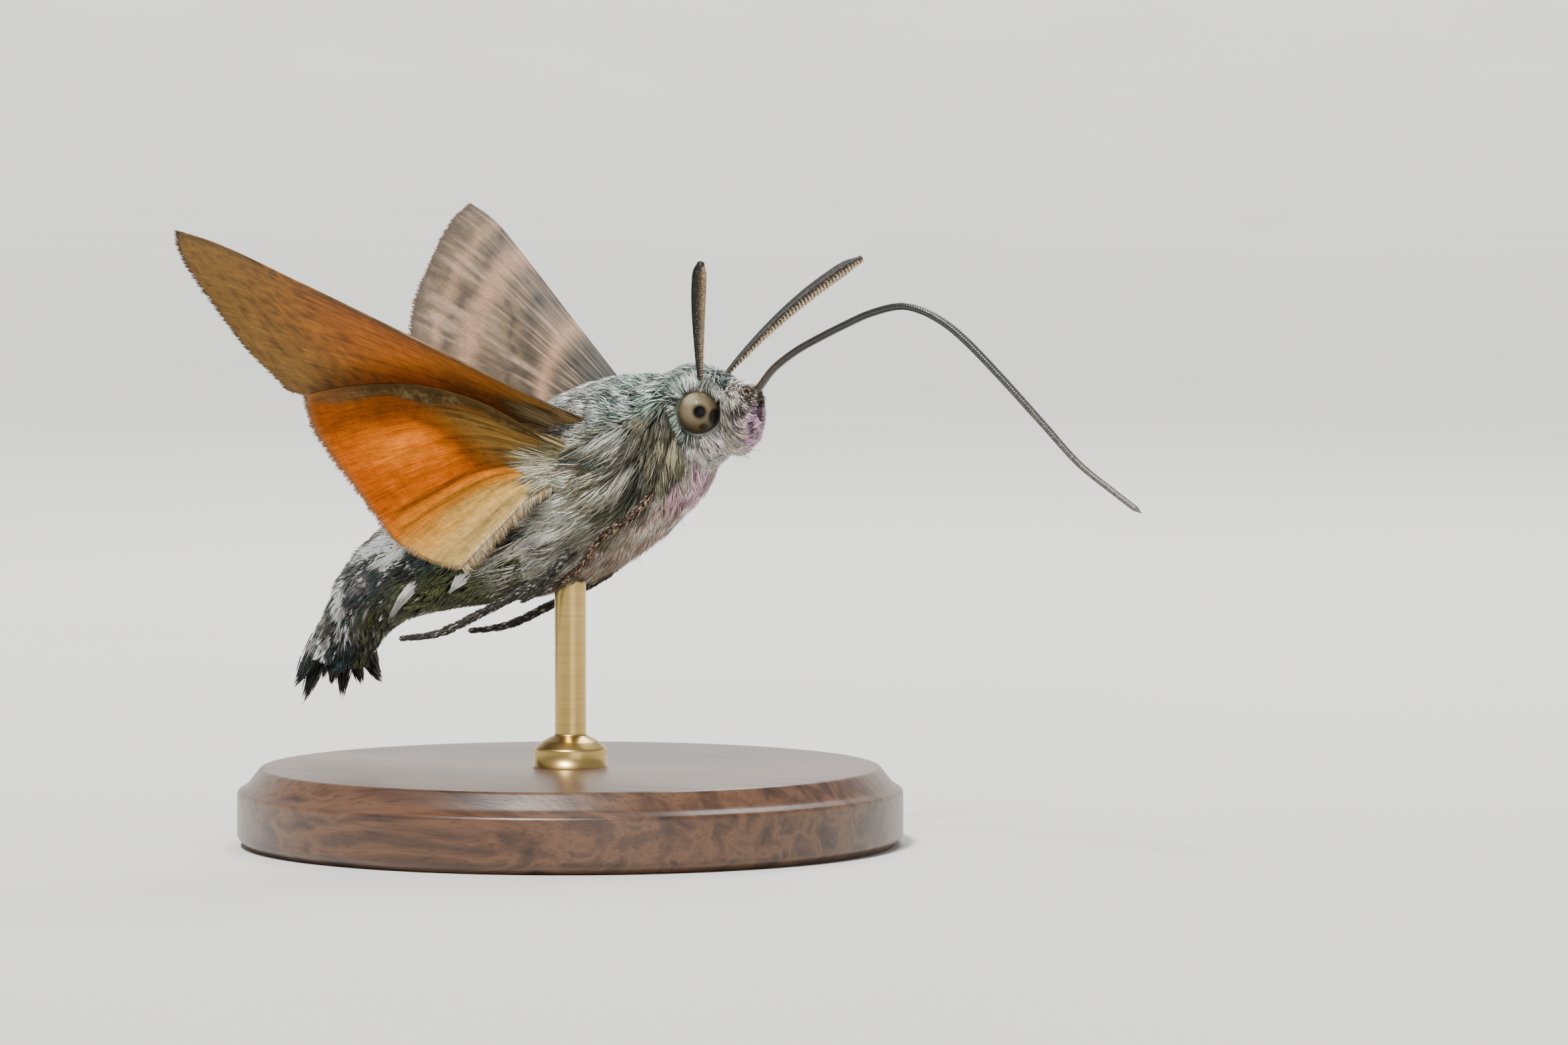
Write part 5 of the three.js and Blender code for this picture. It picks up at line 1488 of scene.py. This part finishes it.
def leg(kind, name, side):
    """The jointed leg, the scales that cover it and the spines that stand out from shin and foot."""
    tuck = FAR_TUCK.get(kind, 0) if side == LEFT else 0
    points = np.array(LEGS[kind], float)
    share = np.linspace(0, 1, len(points))
    points = points * (1, side, 1) - np.outer(tuck * (1 - share ** 2), (1, 0, 0))
    line = smooth_line(points, LEG_STEPS)
    s = np.linspace(0, 1, LEG_STEPS)
    joints = LEG_SEGMENTS[kind]
    radii = LEG_RADIUS[kind] * (1 - 0.12 * soft(s, joints[0], joints[1]) - 0.35 * soft(s, joints[2], 1))
    for joint in joints:
        radii = radii * (1 - 0.22 * np.exp(-((s - joint) / 0.008) ** 2))
    radii = radii * (1 - 0.75 * soft(s, 0.985, 1))
    rng = np.random.default_rng(70 + 3 * side + len(kind) + len(joints) * int(joints[0] * 100))
    rings = tube_rings(line, radii, LEG_SIDES)
    tone = np.repeat(leg_tones(kind, s, np.full(LEG_STEPS, 0.5)) * 0.6, LEG_SIDES, axis=0)
    tone = np.concatenate([tone, tone[:1], tone[-1:]])
    piece = outward(make_mesh(kind + "_" + name, *loft(rings), tone))
    hand_in(piece, cuticle, "legs", kind + "_" + name)

    count = LEG_SCALES
    even, way, across, run = line
    up = np.cross(way, across)
    at = rng.uniform(0.02, 0.98, count)
    angle = rng.uniform(0, 2 * np.pi, count)[:, None]
    length = 0.28 * rng.uniform(0.7, 1.1, count) / run
    rise = rng.uniform(0.01, 0.09, count)
    path, normals = [], []
    for step in SHARES:
        x = np.clip(at + length * step, 0, 1)
        out = between(x, s, across) * np.cos(angle) + between(x, s, up) * np.sin(angle)
        path.append(between(x, s, even) + out * (np.interp(x, s, radii) - 0.01 + rise * step)[:, None])
        normals.append(out)
    tones = leg_tones(kind, at, rng.random(count)) * rng.uniform(0.8, 1.2, (count, 1))
    uv = np.stack([0.05 + 0.9 * angle[:, 0] / (2 * np.pi), 0.05 + 0.9 * at], -1)
    hand_in(hairs(kind + "_scales_" + name, np.stack(path, 1), np.stack(normals, 1),
                  np.full(count, 0.075), (tones * 0.6, tones), uv, 0.25), hair, "legs")

    at = rng.uniform(joints[0], 0.97, LEG_SPINES)
    angle = rng.uniform(0, 2 * np.pi, LEG_SPINES)[:, None]
    out = between(at, s, across) * np.cos(angle) + between(at, s, up) * np.sin(angle)
    roots = between(at, s, even) + out * np.interp(at, s, radii)[:, None] * 0.8
    hand_in(needles(kind + "_spines_" + name, roots, unit(out + 1.3 * between(at, s, way)), dark_bristle,
                    0.3, 0.016, 80 + side), dark_bristle, "legs")


for kind in LEGS:
    for name, side in SIDES.items():
        leg(kind, name, side)


# Stand: turned wood and a brass rod
def turned(name, profile, x, sides, closed=True):
    """A profile of [radius, height] points turned about an upright axis at x in the part's frame."""
    a = np.linspace(0, 2 * np.pi, sides, endpoint=False)
    points, (quads, caps) = loft([
        np.stack([x + radius * np.cos(a), radius * np.sin(a), np.full(sides, z)], -1)
        for radius, z in profile])
    if closed:
        return outward(make_mesh(name, points - ORIGIN, [quads, caps]))
    return make_mesh(name, points - ORIGIN, [quads, caps[:sides]])


def rounded(profile, radius):
    """A profile of [radius, height] points with its middle corners rounded."""
    profile = np.array(profile, float)
    made = [profile[0]]
    for before, corner, after in zip(profile, profile[1:], profile[2:]):
        a = corner + unit(before - corner) * radius
        b = corner + unit(after - corner) * radius
        for f in np.linspace(0, 1, 6):
            made.append((1 - f) ** 2 * a + 2 * f * (1 - f) * corner + f ** 2 * b)
    return [*made, profile[-1]]


def walnut():
    """Oiled walnut, turned: long brown grain with dark pores and a low satin shine."""
    made, tree, principled = material("oiled_walnut", Roughness=0.38, Specular_IOR_Level=0.45,
                                      Coat_Weight=0.25, Coat_Roughness=0.25)
    where = node(tree, "ShaderNodeTexCoord").outputs["Object"]
    # Grain a millimetre wide and a centimetre long, and pores an eighth as wide
    along = node(tree, "ShaderNodeMapping", {"Vector": where, "Scale": (90, 900, 900)})
    rings = node(tree, "ShaderNodeTexNoise", {
        "Vector": along.outputs["Vector"], "Scale": 1, "Detail": 5, "Distortion": 0.6})
    fine = node(tree, "ShaderNodeMapping", {"Vector": where, "Scale": (500, 7000, 7000)})
    pores = node(tree, "ShaderNodeTexNoise", {"Vector": fine.outputs["Vector"], "Scale": 1, "Detail": 2})
    colour = node(tree, "ShaderNodeValToRGB", {"Fac": rings.outputs["Fac"]}, [
        (0.3, "#2E1C12"), (0.45, "#4A3020"), (0.55, "#5E402B"), (0.7, "#3C2618")])
    pore = node(tree, "ShaderNodeMapRange", {
        "Value": pores.outputs["Fac"], "From Min": 0.3, "From Max": 0.45, "To Min": 0.6, "To Max": 1.0})
    shaded = node(tree, "ShaderNodeVectorMath", {
        0: colour.outputs["Color"], 1: pore.outputs["Result"]}, operation="MULTIPLY")
    joined(tree, principled, shaded.outputs["Vector"], node(tree, "ShaderNodeBump", {
        "Height": pores.outputs["Fac"], "Distance": 0.02 * MM, "Strength": 0.4}))
    return made


def brass():
    """Brushed brass: warm metal with fine turning lines."""
    made, tree, principled = material("brushed_brass", Metallic=1.0, Roughness=0.3)
    where = node(tree, "ShaderNodeTexCoord").outputs["Object"]
    # Lines a fifth of a millimetre apart, drawn coarser than real ones so that they show
    stretched = node(tree, "ShaderNodeMapping", {"Vector": where, "Scale": (300, 300, 5000)})
    lines = node(tree, "ShaderNodeTexNoise", {
        "Vector": stretched.outputs["Vector"], "Scale": 1, "Detail": 2})
    colour = node(tree, "ShaderNodeValToRGB", {"Fac": lines.outputs["Fac"]}, [
        (0.3, "#B4965A"), (0.7, "#C0A364")])
    joined(tree, principled, colour.outputs["Color"], node(tree, "ShaderNodeBump", {
        "Height": lines.outputs["Fac"], "Distance": 0.004 * MM, "Strength": 0.2}))
    return made


STAND = {  # sizes beside those of the CAD nodes
    "foot": 0.5, "band": 2.8, "step": 0.3, "edge": 1.2, "round": 0.16, "rod": 0.8, "rod_round": 0.12,
    "collar": (0.9, 1.3, 1.6), "collar_edge": 0.5, "rod_edge": (0.1, 0.4),
}


def stand():
    _, base_high = (np.array(c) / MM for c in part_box("stand_base"))
    rod_low, rod_high = (np.array(c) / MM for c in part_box("stand_rod"))
    radius, _, top = base_high
    foot, band, step = STAND["foot"], STAND["band"], STAND["step"]
    hand_in(turned("stand_base", rounded([
        (radius - foot, 0), (radius, foot), (radius, band), (radius - foot, band + step),
        (radius - STAND["edge"], top), (1, top)], STAND["round"]), 0, 160), walnut(), "wood", "stand_base")
    x = (rod_low[0] + rod_high[0]) / 2
    widest, rod = rod_high[0] - x, STAND["rod"]
    low, middle, high = (top + rise for rise in STAND["collar"])
    end_width, end_height = STAND["rod_edge"]
    hand_in(turned("stand_rod", [(widest, top), *rounded([
        (widest, top), (widest, low), (widest - STAND["collar_edge"], middle), (rod, high),
        (rod, rod_high[2] - end_height), (rod - end_width, rod_high[2])], STAND["rod_round"])], x, 64),
        brass(), "brass", "stand_rod")


stand()


# Stage: a pale floor, soft lights and a pale surround
FLOOR_FLAT, FLOOR_BEND = 1600, 1500
AREA_LIGHTS = (  # name, azimuth, elevation, distance and size in millimetres, power
    ("fill", 45, 8, 480, 300, 0.5), ("rim", 200, 50, 420, 200, 1.4),
)


def stage():
    # A wide floor that rises smoothly all round, so no horizon shows
    bend = np.linspace(0, 80, 17)
    profile = [(1, 0), (400, 0), (900, 0), *(
        (FLOOR_FLAT + FLOOR_BEND * math.sin(a), FLOOR_BEND * (1 - math.cos(a))) for a in np.radians(bend))]
    floor = turned("floor", profile, 0, 96, closed=False)
    # Matt card: even and pale
    made, tree, principled = material("pale_card", Roughness=0.9, Specular_IOR_Level=0.05)
    where = node(tree, "ShaderNodeTexCoord").outputs["Object"]
    cloud = node(tree, "ShaderNodeTexNoise", {"Vector": where, "Scale": 1 / (60 * MM), "Detail": 2})
    colour = node(tree, "ShaderNodeValToRGB", {"Fac": cloud.outputs["Fac"]}, [
        (0.3, "#D2D1CC"), (0.7, "#D6D5D1")])
    joined(tree, principled, colour.outputs["Color"])
    floor.data.materials.append(made)
    world = bpy.data.worlds.new("surround")
    bpy.context.scene.world = world
    world.use_nodes = True
    background = world.node_tree.nodes["Background"]
    background.inputs["Color"].default_value = rgba("#E3E5E6")
    background.inputs["Strength"].default_value = 0.6
    sun = bpy.data.lights.new("key", "SUN")
    sun.energy = 5.6
    sun.angle = math.radians(10)
    aimed(bpy.data.objects.new("key", sun), 6, 58, 400)
    for name, azimuth, elevation, distance, size, power in AREA_LIGHTS:
        light = bpy.data.lights.new(name, "AREA")
        light.size = size * MM
        light.energy = power
        aimed(bpy.data.objects.new(name, light), azimuth, elevation, distance)


stage()
